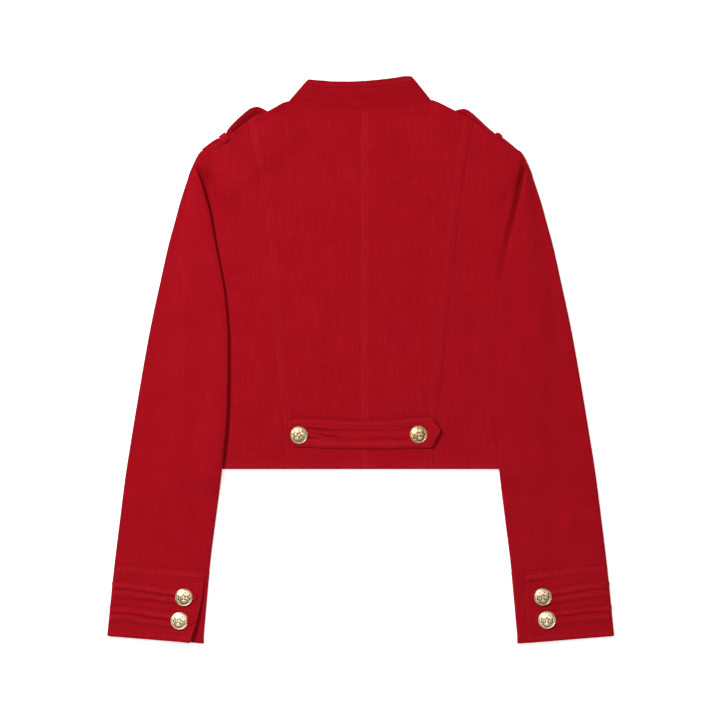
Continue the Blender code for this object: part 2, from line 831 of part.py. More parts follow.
main()
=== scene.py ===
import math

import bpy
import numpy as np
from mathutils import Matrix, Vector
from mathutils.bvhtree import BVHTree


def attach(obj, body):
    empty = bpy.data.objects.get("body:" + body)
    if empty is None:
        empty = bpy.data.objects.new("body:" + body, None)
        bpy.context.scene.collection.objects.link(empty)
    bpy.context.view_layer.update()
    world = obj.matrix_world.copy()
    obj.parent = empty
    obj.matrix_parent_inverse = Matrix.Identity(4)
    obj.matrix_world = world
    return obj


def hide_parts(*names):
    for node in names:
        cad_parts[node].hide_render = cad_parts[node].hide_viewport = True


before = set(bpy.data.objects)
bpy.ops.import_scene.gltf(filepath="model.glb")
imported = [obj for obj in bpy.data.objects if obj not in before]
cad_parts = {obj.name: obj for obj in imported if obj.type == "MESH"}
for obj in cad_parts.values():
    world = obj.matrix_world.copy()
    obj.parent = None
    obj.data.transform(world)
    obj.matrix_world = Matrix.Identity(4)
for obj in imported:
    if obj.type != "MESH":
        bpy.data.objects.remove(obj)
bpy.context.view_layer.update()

# Looks of a cropped military-style jacket with a stand collar, laid flat face down.
#
# Its back is up and its collar points to +Y. Lengths are in millimetres in the model's own frame:
# X is 0 on the centre-back seam, Y runs from the hem towards the collar, Z is the height over the
# floor. Each piece of cloth is a thin closed shell on the form of the solid that it replaces, worked
# out from the same sizes and tables, with its creases, seams and stitches added. The cut's tables
# give |X|, because both halves of the jacket have the same cut. Creases, the half belt and the
# collar give X with its sign. Functions of x and y take arrays.

MM = 0.001

# Driving sizes, as in the model; only the hem is a little lower, for its rounded edge.
CLOTH = 1.3
DOUBLE = 2.0
TAB_THICK = 1.6
BELT_THICK = 2.2
KEEPER_THICK = 1.0
BACK_LEVEL = 4.7
NECK_SIDE_X = 85.0
BACK_NECK_Y = 302.4
FRONT_NECK_Y = 240.0
UNDERARM_X = 210.0
UNDERARM_Y = 72.0
HEM_SIDE_X = 206.0
HEM_Y = -131.3
FRONT_LAP = 10.0
LAP_RAMP = (15.0, 40.0)
COLLAR_HEIGHT = 31.5
BUTTON_D = 21.4
STRAP_WIDTH = 46.0
KEEPER_AT = 54.0
KEEPER_WIDTH = 9.0
SEAM_LAP = 0.05            # how far a shell passes its seam line, so that no light comes through
SIDES = ("left", "right")


def table(columns, *rows):
    """A short table: one dict per row, with the named columns."""
    names = columns.split()
    return [dict(zip(names, row)) for row in rows]


def curve(rows, column, key="y"):
    """A table's column as a smooth function of its key, which never overshoots the rows."""
    rows = sorted(rows, key=lambda row: row[key])
    xs = np.array([row[key] for row in rows], float)
    ys = np.array([row[column] for row in rows], float)
    steps = np.diff(xs)
    slopes = np.diff(ys) / steps
    product = slopes[:-1] * slopes[1:]
    total = np.where(product > 0, slopes[:-1] + slopes[1:], 1.0)
    middle = np.where(product > 0, 2 * product / total, 0.0)
    tangents = np.concatenate([slopes[:1], middle, slopes[-1:]])

    def at(value):
        value = np.clip(np.asarray(value, float), xs[0], xs[-1])
        i = np.clip(np.searchsorted(xs, value, side="right") - 1, 0, len(steps) - 1)
        t = (value - xs[i]) / steps[i]
        h00 = (1 + 2 * t) * (1 - t) ** 2
        h10 = t * (1 - t) ** 2
        h01 = t * t * (3 - 2 * t)
        h11 = t * t * (t - 1)
        return (h00 * ys[i] + h10 * steps[i] * tangents[i]
                + h01 * ys[i + 1] + h11 * steps[i] * tangents[i + 1])

    return at


def lerp(a, b, t):
    return a + (b - a) * t


def ease(low, high, value):
    """0 below low, 1 above high, smooth between; low may be above high."""
    t = np.clip((np.asarray(value, float) - low) / (high - low), 0.0, 1.0)
    return t * t * (3 - 2 * t)


def dip(distance, width):
    """A smooth bump of height 1 where distance is 0."""
    return np.exp(-(distance / width) ** 2)


def wobble(u, seed):
    """An uneven wave between about -1 and 1."""
    return (np.sin(u + seed) + 0.7 * np.sin(2.31 * u + 1.7 * seed)
            + 0.4 * np.sin(4.13 * u + 2.9 * seed)) / 2.1


# ---------------------------------------------------------------- cut lines

ARMHOLE = table(
    "y       x",
    (250.6, 189.6),
    (246.4, 182.9),
    (226.8, 178.2),
    (204.0, 175.9),
    (186.0, 174.8),
    (162.0, 176.6),
    (132.0, 183.0),
    (98.0, 195.0),
    (84.0, 203.0),
    (72.0, 210.0),
)

SHOULDER = table(
    "x       left   right",
    (85.0, 310.2, 311.8),
    (92.0, 308.4, 309.2),
    (97.0, 305.8, 306.7),
    (102.0, 302.8, 304.0),
    (111.0, 297.8, 299.4),
    (128.0, 290.8, 290.8),
    (140.0, 282.4, 283.0),
    (156.0, 269.8, 271.8),
    (170.0, 260.6, 261.6),
    (184.0, 253.6, 253.8),
    (189.6, 250.6, 250.6),
)

PRINCESS = table(
    "y       left    right",
    (287.0, 136.4, 135.0),
    (261.6, 130.1, 130.3),
    (238.8, 125.4, 125.8),
    (186.0, 115.2, 118.6),
    (132.0, 109.9, 113.2),
    (60.0, 105.6, 104.9),
    (0.0, 101.3, 98.0),
    (-65.0, 94.0, 92.3),
    (-131.0, 90.0, 85.9),
)

SLEEVE = table(
    "y       outer  left   right  tuck",
    (251.0, 190.6, 186.0, 186.0, 196.0),
    (246.4, 194.4, 190.0, 190.0, 197.6),
    (241.2, 197.5, 192.8, 193.6, 199.5),
    (236.4, 199.9, 196.6, 196.0, 200.4),
    (231.6, 201.9, 197.0, 197.4, 201.0),
    (226.8, 203.9, 195.9, 196.4, 201.6),
    (208.8, 210.0, 189.4, 193.2, 202.5),
    (186.0, 217.4, 182.9, 188.4, 202.0),
    (169.2, 222.0, 178.8, 184.4, 201.0),
    (134.4, 231.4, 172.8, 175.6, 202.0),
    (91.2, 241.0, 164.6, 168.0, 208.0),
    (61.2, 247.6, 160.8, 162.8, 214.0),
    (27.6, 254.4, 158.5, 160.2, 214.0),
    (0.0, 259.4, 158.4, 159.6, 214.0),
    (-64.8, 270.4, 159.6, 160.6, 214.0),
    (-90.0, 274.5, 161.5, 162.0, 214.0),
    (-138.0, 282.1, 166.8, 166.6, 214.0),
    (-187.2, 288.4, 173.4, 172.8, 214.0),
    (-244.8, 295.4, 180.7, 180.0, 214.0),
    (-331.6, 304.2, 188.6, 188.2, 214.0),
)

BELT = table(
    "x       top     bottom",
    (-91.6, -84.4, -86.0),
    (-87.0, -78.0, -94.0),
    (-80.0, -71.4, -103.8),
    (-60.0, -71.8, -104.6),
    (-30.0, -73.2, -106.0),
    (0.0, -74.4, -106.6),
    (40.0, -73.0, -106.4),
    (65.0, -70.6, -105.6),
    (84.0, -69.4, -105.1),
    (90.0, -77.0, -96.0),
    (95.0, -84.4, -86.0),
)

TABS = table(
    "name     y_start  x_left  x_right  y_left   y_right  tip",
    ("upper", -276.0, 212.0, 218.5, -284.9, -284.4, 16.0),
    ("lower", -304.7, 217.3, 223.4, -313.1, -312.1, 18.0),
)

# |X| of the cuff's free edge at its top and bottom, and how far it bows in between them.
CUFF_EDGE = {"left": (187.0, 205.0, -3.2), "right": (195.0, 200.4, 0.0)}

armhole_x = curve(ARMHOLE, "x")
shoulder = {side: curve(SHOULDER, side, key="x") for side in SIDES}
princess_x = {side: curve(PRINCESS, side) for side in SIDES}
sleeve_line = {name: curve(SLEEVE, name) for name in ("outer", "left", "right", "tuck")}
belt_line = {name: curve(BELT, name, key="x") for name in ("top", "bottom")}
NECK_SIDE_Y = {side: SHOULDER[0][side] for side in SIDES}


def signed(side, x):
    return -x if side == "left" else x


def body_edge_x(y):
    """|X| of the armhole, and below it of the side seam's fold."""
    side_seam = lerp(UNDERARM_X, HEM_SIDE_X, (UNDERARM_Y - y) / (UNDERARM_Y - HEM_Y))
    return np.where(y >= UNDERARM_Y, armhole_x(y), side_seam)


def shoulder_y(x):
    return np.where(x < 0, shoulder["left"](abs(x)), shoulder["right"](abs(x)))


def neck_line(x, centre_y, power):
    """Top edge of a body panel: a neckline that is centre_y in the middle, then the shoulder."""
    side_y = np.where(x < 0, NECK_SIDE_Y["left"], NECK_SIDE_Y["right"])
    neck = lerp(centre_y, side_y, (np.minimum(abs(x), NECK_SIDE_X) / NECK_SIDE_X) ** power)
    return np.where(abs(x) < NECK_SIDE_X, neck, shoulder_y(x))


def back_top_y(x):
    return neck_line(x, BACK_NECK_Y, 2.3)


def front_top_y(x):
    return neck_line(x, FRONT_NECK_Y, 2.2)


# ------------------------------------------------------------------ heights

STRAP_CORNER = Vector((124.3, 303.4))
STRAP_END = Vector((192.0, 250.6))
STRAP_LENGTH = (STRAP_END - STRAP_CORNER).length
STRAP_DIRECTION = (STRAP_END - STRAP_CORNER).normalized()
STRAP_INWARD = Vector((STRAP_DIRECTION.y, -STRAP_DIRECTION.x))
STRAP_RISE = 3.6           # how far an epaulette and its keeper lift the front
BACK_RISE = 3.4            # and the back above it
# Where they do so: past an epaulette's start, before its end, and inward from its outer edge.
LIFT_START = (-34.0, -12.0)
LIFT_END = (112.0, 92.0)
LIFT_INWARD = (78.0, 52.0)
UNDER_RUN = 1.9            # from the back's middle to that of the sleeve's lower layer
SLEEVE_BULK = 2.2          # from the sleeve's lower layer to its upper one, on the body
SLEEVE_LOFT = 4.5          # the same where it lies on the floor
SIDE_RAMP = (212.5, 226.0)  # where the lower layer comes down beside the body
HEM_RAMP = (-172.0, -134.0)  # and where it comes down past the hem


def lift(x, y):
    """1 over an epaulette, 0 away from it."""
    from_x, from_y = abs(x) - STRAP_CORNER.x, y - STRAP_CORNER.y
    along = from_x * STRAP_DIRECTION.x + from_y * STRAP_DIRECTION.y
    inward = from_x * STRAP_INWARD.x + from_y * STRAP_INWARD.y
    return ease(*LIFT_START, along) * ease(*LIFT_END, along) * ease(*LIFT_INWARD, inward)


def front_level(x, y):
    return CLOTH / 2 + STRAP_RISE * lift(x, y)


def waves(x, y):
    """Broad unevenness of the laid cloth, between -1 and 1."""
    return 0.5 * np.sin(x / 41.0 + y / 67.0) + 0.5 * np.sin(x / 71.0 - y / 39.0 + 1.3)


def back_level(x, y):
    return BACK_LEVEL + BACK_RISE * lift(x, y) + 0.3 * waves(x, y)


def sleeve_low_level(x, y):
    """Lower layer of the closed sleeve: on the body inside, on the floor outside."""
    on_body = ease(SIDE_RAMP[1], SIDE_RAMP[0], abs(x)) * ease(*HEM_RAMP, y)
    return lerp(CLOTH / 2, back_level(x, y) + UNDER_RUN, on_body)


def sleeve_top_level(x, y, tuck, outer):
    """Upper layer of the sleeve, which slopes from the stack on the body to the floor."""
    far = np.maximum(np.minimum(tuck + 24.0, outer - 2.0), tuck + 3.0)
    on_body = ease(far, tuck - 5.0, abs(x)) * ease(*HEM_RAMP, y)
    stack = back_level(x, y) + UNDER_RUN + SLEEVE_BULK
    floor = CLOTH / 2 + SLEEVE_LOFT + 0.5 * waves(1.7 * x, y)
    return lerp(floor, stack, on_body)


# How the cloth lies beside each sleeve's inner fold: how deep the body's side dips there, and how
# far the sleeve's upper layer stands up or down along the fold.
FOLDS = table(
    "y       valley_left  valley_right  puff_left  puff_right",
    (244.0, 0.0, 0.0, 0.0, 0.0),
    (236.0, 0.2, 1.1, 0.0, 0.0),
    (222.0, 0.5, 2.5, 1.2, 0.0),
    (200.0, 1.5, 2.5, 3.2, 0.3),
    (180.0, 1.5, 2.3, 3.4, 0.3),
    (155.0, 1.1, 1.7, 2.9, 0.0),
    (131.0, 0.8, 1.2, 2.4, -0.2),
    (100.0, 0.5, 0.7, 2.1, -0.5),
    (76.0, 0.0, 0.0, 2.1, -0.6),
    (12.0, 0.0, 0.0, 3.0, -0.6),
    (-48.0, 0.0, 0.0, 4.2, -0.5),
    (-108.0, 0.0, 0.0, 4.8, -0.3),
    (-140.0, 0.0, 0.0, 3.4, 0.0),
    (-170.0, 0.0, 0.0, 1.0, 0.0),
    (-246.0, 0.0, 0.0, 0.0, 0.0),
)
FOLD_RIDGE = {"left": 0.1, "right": 0.65}      # share of the dip that the body rises before it
FOLD_RISE = (38.0, 10.0)   # distances from the fold over which it rises
FOLD_DIP = (8.6, 1.0)      # and over which it dips
HEAD_Y = 222.0             # the left sleeve's head pushes the body's side up here
HEAD_SWELL = {"left": 1.5, "right": 0.0}
# Painted shade in the dip beside each sleeve's inner fold, where the cloth is painted darker: how
# much, how near to the fold, under which Y and over which Y; head is how much darker it is painted
# beside the sleeve's head.
FOLD_PAINTED_SHADE = table(
    "side     dark near        under           over            head",
    ("left", 1.8, (8.0, 1.0), (238.0, 225.0), (160.0, 195.0), 2.6),
    ("right", 1.4, (9.0, 5.0), (242.0, 228.0), (100.0, 200.0), 0.0),
)
fold_depth = {side: curve(FOLDS, "valley_" + side) for side in SIDES}
fold_puff = {side: curve(FOLDS, "puff_" + side) for side in SIDES}


def beside_fold(side, x, y):
    """Height of the body's side, and of the sleeve's head strip, beside the sleeve's inner fold."""
    before = sleeve_line[side](y) - x
    ridge = FOLD_RIDGE[side]
    height = fold_depth[side](y) * (ridge * ease(*FOLD_RISE, before)
                                    - (1 + ridge) * ease(*FOLD_DIP, before))
    return height + HEAD_SWELL[side] * dip(y - HEAD_Y, 12.0) * ease(20.0, 5.0, before)


def fold_shade(side, x, y):
    """How much darker the cloth is painted in the dip beside the sleeve's inner fold: painted shade.
    """
    before = sleeve_line[side](y) - x
    row = FOLD_PAINTED_SHADE[SIDES.index(side)]
    shade = row["dark"] * ease(*row["near"], before) * ease(*row["under"], y) * ease(*row["over"], y)
    return shade + row["head"] * ease(21.0, 10.0, before) * dip(y - HEAD_Y, 13.0)


def along_fold(side, x, y, inner):
    """How far the sleeve's upper layer stands up along its inner fold, which is at inner."""
    past = x - inner
    rounded = (1 - np.clip((past - 2.0) / 6.0, 0.0, 1.0)) ** 2
    return fold_puff[side](y) * ease(38.0, 6.0, past) - 0.6 * rounded * ease(250.0, 220.0, y)


# ------------------------------------------------------------ cloth's relief

# Soft troughs (height below 0) and ridges, from one end to the other, each bowed sideways and
# steeper on one flank. Lengths in mm; here x has its sign.
BACK_CREASES = table(
    "x1     y1     x2     y2    bow   width height lean",
    (-29.0, 112.0, -60.0, -22.0, 6.0, 11.0, 0.55, 0.3),
    (-8.0, 96.0, -36.0, -20.0, 8.0, 12.0, -0.6, 0.3),
    (84.0, 150.0, 78.0, 66.0, 2.0, 9.0, -0.5, -0.2),
    (70.0, 60.0, 36.0, -28.0, -5.0, 12.0, -0.6, 0.3),
    (50.0, 92.0, 22.0, 6.0, -4.0, 13.0, 0.5, 0.1),
    (30.0, 92.0, 12.0, 40.0, 3.0, 8.0, -0.35, 0.0),
    (-82.0, -16.0, -4.0, -60.0, -8.0, 14.0, -0.5, 0.2),
    (20.0, -30.0, 84.0, -56.0, 5.0, 13.0, 0.35, 0.0),
    (-104.0, 214.0, -42.0, 236.0, 5.0, 12.0, -0.15, 0.2),
    (-92.0, 176.0, -28.0, 190.0, -6.0, 14.0, 0.2, 0.0),
    (34.0, 196.0, 92.0, 240.0, 4.0, 13.0, -0.35, 0.2),
    (118.0, 126.0, 130.0, 70.0, 2.0, 8.0, -0.5, 0.2),
    (136.0, 56.0, 134.0, -20.0, 2.0, 6.0, -0.35, 0.0),
    (148.0, 40.0, 146.0, -40.0, -2.0, 6.0, 0.3, 0.0),
    (-138.0, 200.0, -170.0, 130.0, -4.0, 12.0, -0.15, 0.2),
    (-136.0, 98.0, -144.0, 10.0, 3.0, 11.0, 0.45, 0.0),
    (-122.0, 20.0, -128.0, -70.0, 2.0, 9.0, -0.35, 0.0),
    (140.0, 214.0, 160.0, 130.0, 4.0, 11.0, 0.15, 0.2),
    (-128.0, 60.0, -130.0, -118.0, 0.0, 17.0, 0.7, 0.0),
)
CREASE_DEPTH = 1.5         # how much deeper all creases are than their tables say


def creases(rows, x, y):
    total = np.zeros(np.broadcast(x, y).shape)
    for row in rows:
        dx, dy = row["x2"] - row["x1"], row["y2"] - row["y1"]
        length = math.hypot(dx, dy)
        along = ((x - row["x1"]) * dx + (y - row["y1"]) * dy) / length ** 2
        across = ((x - row["x1"]) * dy - (y - row["y1"]) * dx) / length
        across = across - 4 * row["bow"] * along * (1 - along)
        width = row["width"] * (1 + row["lean"] * np.tanh(across / row["width"]))
        fade = ease(0.0, 0.4, along) * ease(1.0, 0.6, along)
        total += CREASE_DEPTH * row["height"] * fade * dip(across, width)
    return total


def ripple(x, y):
    """Small unevenness that cloth keeps when it is only laid flat."""
    return (0.11 * np.sin(x / 9.7 + 1.9 * np.sin(y / 31.0)) * np.sin(y / 17.3 + 0.8)
            + 0.09 * np.sin(x / 6.1 - y / 23.0 + 2.0) * np.sin(x / 33.0 + y / 11.9)
            + 0.06 * np.sin(y / 5.3 + x / 15.1 + 0.5) * np.sin(x / 21.0 - y / 27.0))


def turnings(distance, width, height):
    """What a seam's turnings raise: a rounded edge at the seam, and nothing past their width."""
    edge = 0.35 + 0.65 * ease(0.0, 1.5, distance)
    return height * edge * ease(width + 1.6, width - 0.6, distance)


def furrow(distance, row, along, seed):
    """The groove that a row of stitches pulls in the cloth, with uneven puckers beside it."""
    pucker = 0.10 * wobble(along / 1.9, seed) * dip(distance - row, 3.0)
    depth = 0.24 * (1 + 0.6 * wobble(along / 19.0, seed + 5.0))
    return pucker - depth * dip(distance - row, 0.9)


def furrows(distance, rows, along, seed, step):
    """A furrow for each row of stitches beside a seam or an edge."""
    return sum(furrow(distance, row, along, seed + step * k) for k, row in enumerate(rows))


def lines(distance, rows):
    """Soft lines beside a seam or an edge: each row has its distance, width and strength."""
    return sum(strength * dip(distance - at, width) for at, width, strength in rows)


HEM_TURN = 10.0
HEM_ROW = HEM_TURN - 1.4   # stitches above the hem
SEAM_TURN = 9.2            # width of the turnings beside the back's seams
PRINCESS_ROWS = (1.5, 8.3)
PRINCESS_RAISED = {"left": 0.4, "right": 0.8}
# Painted highlight and wear over each princess seam's turnings.
PRINCESS_SHEEN_AND_WEAR = {"left": 0.3, "right": 0.1}
CENTRE_ROWS = (1.4, 8.2)
# The edges of a patch inside the neck show through faintly.
NECK_PATCH = {"left": -24.0, "right": 30.0, "top": 264.4, "bottom": 228.0}
PATCH_WIDTH = 1.1


def above_belt(x, y):
    """1 where the back's cloth dips to the half belt's upper edge, 0 away from it."""
    near = ease(9.0, 0.0, abs(y - belt_line["top"](x)))
    return near * ease(-90.0, -78.0, x) * ease(92.0, 80.0, x)


def panel_relief(x, y):
    """Relief of any back panel: creases, which fade towards the armhole and side, and the hem."""
    shown = ease(body_edge_x(y) - 4.0, body_edge_x(y) - 18.0, abs(x))
    hem = y - HEM_Y
    return ((creases(BACK_CREASES, x, y) + ripple(x, y)) * shown
            + turnings(hem, HEM_TURN, 0.3) + furrow(hem, HEM_ROW, x, 2.0))


def side_relief(side, x, y):
    """How far the back's side panel stands over its plain level."""
    before = sleeve_line[side](y) - abs(x)
    if side == "right":
        beside_sleeve = 0.55 * ease(18.0, 1.0, before) * ease(204.0, 190.0, abs(x))
    else:
        beside_sleeve = -1.5 * dip(before - 1.5, 4.2)
    beside_sleeve = beside_sleeve * ease(110.0, 80.0, y) * ease(HEM_Y - 0.7, HEM_Y + 11.3, y)
    seam = 0.12 * dip(princess_x[side](y) - abs(x), 1.0)
    return panel_relief(x, y) + beside_fold(side, abs(x), y) + beside_sleeve - seam


def patch_relief(side, x, y):
    """The neck patch's upper edge, a faint ridge, and its upright edge on this side, a furrow."""
    left, right, top = (NECK_PATCH[name] for name in ("left", "right", "top"))
    level = dip(y - top, PATCH_WIDTH) * ease(left, left + 1, x) * ease(right, right - 1, x)
    bottom = NECK_PATCH["bottom"]
    edge = dip(x - NECK_PATCH[side], PATCH_WIDTH) * ease(bottom, bottom + 4, y) * ease(top + 1, top, y)
    return 0.2 * level - 0.1 * edge


def centre_relief(side, x, y):
    """How far a centre back panel stands over its plain level."""
    from_seam = princess_x[side](y) - abs(x)
    raised = PRINCESS_RAISED[side] * (1 + 0.3 * wobble(y / 29.0, 2.0)) + 0.35 * ease(180, 280, y)
    total = panel_relief(x, y) + turnings(from_seam, SEAM_TURN, raised) - 0.5 * above_belt(x, y)
    total += furrows(from_seam, PRINCESS_ROWS, y, 0.0, 3.0) + patch_relief(side, x, y)
    if side == "left":
        return total - 0.08 * dip(abs(x), 1.0)
    # The centre seam's turnings are pressed to the right.
    total += turnings(abs(x), SEAM_TURN, 0.28 * (1 + 0.6 * wobble(y / 33.0, 1.0)))
    return total + furrows(abs(x), CENTRE_ROWS, y, 1.0, 3.0)


def band(distance, width):
    """1 over a seam's turnings, 0 past their width."""
    return ease(0.0, 1.2, distance) * ease(width + 1.4, width - 0.6, distance)


def hem_painted_light_and_wear(x, y):
    """Cloth painted lighter over the hem's turning, as wear and painted highlight, and darker on its
    very edge, as painted shade.
    """
    return 0.8 * dip(y - HEM_Y - 4.2, 2.4) * (1 + 0.4 * wobble(x / 9.0, 2.0)) - dip(y - HEM_Y, 0.9)


# Painted shade in the dip beside the sleeve, with the hem's wear, painted highlight and painted shade.
def side_painted_light_and_wear(side, x, y):
    return hem_painted_light_and_wear(x, y) - fold_shade(side, abs(x), y)


def centre_painted_light_and_wear(side, x, y):
    """How much a centre back panel's colour is made lighter over its seams' turnings, as wear and
    painted highlight, and darker towards its top edge and in a painted shadow above the half belt.
    """
    total = PRINCESS_SHEEN_AND_WEAR[side] * band(princess_x[side](y) - abs(x), SEAM_TURN - 0.2)
    if side == "left":
        total = total * (1 + 1.6 * ease(200.0, 280.0, y))
    else:
        total = total + 0.6 * band(abs(x), SEAM_TURN)
    painted_and_worn = (1 + 0.35 * wobble(y / 21.0, 1.0)) * ease(HEM_Y - 1.0, HEM_Y + 2.0, y)
    return total * painted_and_worn - 0.35 * ease(284.0, 300.0, y) - 0.8 * above_belt(x, y) + hem_painted_light_and_wear(x, y)


# ------------------------------------------------------------------- meshes

RAY_HEIGHT = 60.0          # over the whole garment
SHARP_EDGE = 55.0          # edges that turn more than this, in degrees, are rounded


def put_in_scene(name, data):
    """A new object in the scene, for a mesh, light or camera."""
    thing = bpy.data.objects.new(name, data)
    bpy.context.scene.collection.objects.link(thing)
    return thing


def mesh_of(name, points, faces, look, **attributes):
    """A smooth mesh of points in millimetres; each attribute has one value for each point."""
    mesh = bpy.data.meshes.new(name)
    mesh.from_pydata((np.asarray(points) * MM).tolist(), [], faces)
    mesh.shade_smooth()
    mesh.materials.append(look)
    for attribute, values in attributes.items():
        mesh.attributes.new(attribute, "FLOAT", "POINT").data.foreach_set("value", values)
    return mesh


def from_above(tree, x, y):
    """The point where a line straight down at x and y meets a piece, or None."""
    hit = tree.ray_cast(Vector((x, y, RAY_HEIGHT)) * MM, Vector((0.0, 0.0, -1.0)))[0]
    return None if hit is None else np.array(hit) / MM


def tree_of(piece):
    """A piece's surface, with its thickness, for from_above."""
    return BVHTree.FromObject(piece, bpy.context.evaluated_depsgraph_get())


def shell(name, grid, thickness, look, tube_from=None, rounding=None, rubbed=0.0):
    """A closed shell through a grid of points (rows x columns x 3), thickened both ways.

    From row tube_from on, the last column meets the first, so those rows form a tube. The last
    argument makes the cloth's colour lighter at each point, as wear and painted highlight over seams
    and crests; below 0 it makes it darker, as painted shade in dips and along edges.
    """
    rows, columns = grid.shape[:2]
    faces = []
    for i in range(rows - 1):
        for j in range(columns - 1):
            corners = []
            for row, column in ((i, j), (i, j + 1), (i + 1, j + 1), (i + 1, j)):
                if tube_from is not None and row >= tube_from and column == columns - 1:
                    column = 0
                corners.append(row * columns + column)
            faces.append(corners)
    used = np.unique(np.array(faces))
    renumber = np.zeros(rows * columns, int)
    renumber[used] = np.arange(len(used))
    painted_and_worn = np.broadcast_to(rubbed, grid.shape[:2]).reshape(-1)[used]
    mesh = mesh_of("cloth_" + name, grid.reshape(-1, 3)[used],
                   renumber[np.array(faces)].tolist(), look, rubbed=painted_and_worn)
    if not rounding:
        # The border's edges, each with one face, stay sharp.
        sides = np.zeros(len(mesh.loops), int)
        mesh.loops.foreach_get("edge_index", sides)
        mesh.edges.foreach_set("use_edge_sharp",
                               np.bincount(sides, minlength=len(mesh.edges)) == 1)
    thing = put_in_scene("cloth_" + name, mesh)
    solid = thing.modifiers.new("thickness", "SOLIDIFY")
    solid.thickness = thickness * MM
    solid.offset = 0.0
    solid.use_quality_normals = True
    if rounding:
        edge = thing.modifiers.new("rounded_edge", "BEVEL")
        edge.width = rounding * MM
        edge.segments = 2
        edge.limit_method = "ANGLE"
        edge.angle_limit = math.radians(SHARP_EDGE)
        edge.harden_normals = True
    return thing


def spread(start, end, step):
    """Evenly spaced values from start to end, at most step apart."""
    return np.linspace(start, end, max(2, 1 + math.ceil(abs(end - start) / step)))


def grid_of(x, y, z):
    return np.stack(np.broadcast_arrays(x, y, z), axis=-1)


# --------------------------------------------------------------------- body

FIRST_FOLD_ANGLE = 9.0     # how far the last row stops short of the fold's outermost line
FOLD_STEPS = 8
ROLL_ANGLES = np.linspace(90.0, FIRST_FOLD_ANGLE, FOLD_STEPS)[1:]
EDGE_WIDTH = 2.2           # of the columns that roll round the side's fold
OUTLINE_ROUNDS = 14        # in which columns and rows settle on the slanting outline
ROWS_TOP_Y = 305.0         # Y by which the rows' steps are worked out
BACK_HEM_ROWS = np.arange(0.0, 12.6, 0.9)
FRONT_HEM_ROWS = np.array([0.0, 3.0])
SHOULDER_LIP = {"left": 1.3, "right": 0.3}    # the shoulder seam's turnings raise the back's edge


def fold_edge(x, y, angle, upper):
    """Inset from the body's folded edge, and height, at an angle of the fold's turn."""
    top = back_level(x, y)
    low = front_level(x, y)
    radius = (top - low) / 2
    turn = np.radians(angle)
    rise = radius * np.sin(turn)
    return radius * (1 - np.cos(turn)), (top + low) / 2 + (rise if upper else -rise)


def smooth_cloth(side, x, y):
    """No relief, for the panels that lie hidden; in the place of the other relief functions."""
    return 0.0


def panel_outline(side, lines_of, top_y, steps, hem_rows, edge):
    """|X|, Y and the angle of the shoulder's fold for each row and column of a panel."""
    near_x, far_x = lines_of
    near_offsets, far_offsets, column_step, row_step = steps
    unit = 1.0 / (ROWS_TOP_Y - HEM_Y)
    heights = np.concatenate([hem_rows * unit, spread(hem_rows[-1] * unit, 1.0, row_step * unit)[1:],
                              np.ones(len(ROLL_ANGLES))])[:, None]
    flat_rows = len(heights) - len(ROLL_ANGLES)
    angles = np.concatenate([np.full(flat_rows, 90.0), ROLL_ANGLES])[:, None]
    width = float(np.max(far_x(np.linspace(HEM_Y, 250.0, 50)) - near_x(np.zeros(1))))
    middle = spread(0.0, 1.0, column_step / (width - near_offsets[-1] - far_offsets[-1]))[1:-1]
    count = len(near_offsets) + len(middle) + len(far_offsets)
    x = np.tile(np.linspace(0.0, 100.0, count), (len(heights), 1))
    for _ in range(OUTLINE_ROUNDS):
        y = lerp(HEM_Y, top_y(signed(side, x)) - 2.0, heights)
        row_y = y.mean(axis=1, keepdims=True)
        row_near, row_far = near_x(row_y), far_x(row_y) - edge
        start = row_near + near_offsets[None, :]
        end = row_far - far_offsets[::-1][None, :]
        between = lerp(start[:, -1:], end[:, :1], middle[None, :])
        shares = (np.concatenate([start, between, end], axis=1) - row_near) / (row_far - row_near)
        x = lerp(near_x(y), far_x(y) - edge, shares)
    return x, y, angles


def side_fold(side, upper, far_x, y, height):
    """The last columns of a panel, which roll round the side's fold below the armhole."""
    far_edge = far_x(y)
    inset, rolled = fold_edge(signed(side, far_edge), y, ROLL_ANGLES[None, :], upper)
    flat = EDGE_WIDTH * np.linspace(1.0, 0.0, FOLD_STEPS)[1:][None, :]
    rounded = ease(UNDERARM_Y + 6.0, UNDERARM_Y, y)
    x = far_edge - lerp(flat, inset, rounded)
    return x, np.broadcast_to(y, x.shape), lerp(height(signed(side, x), y), rolled, rounded)


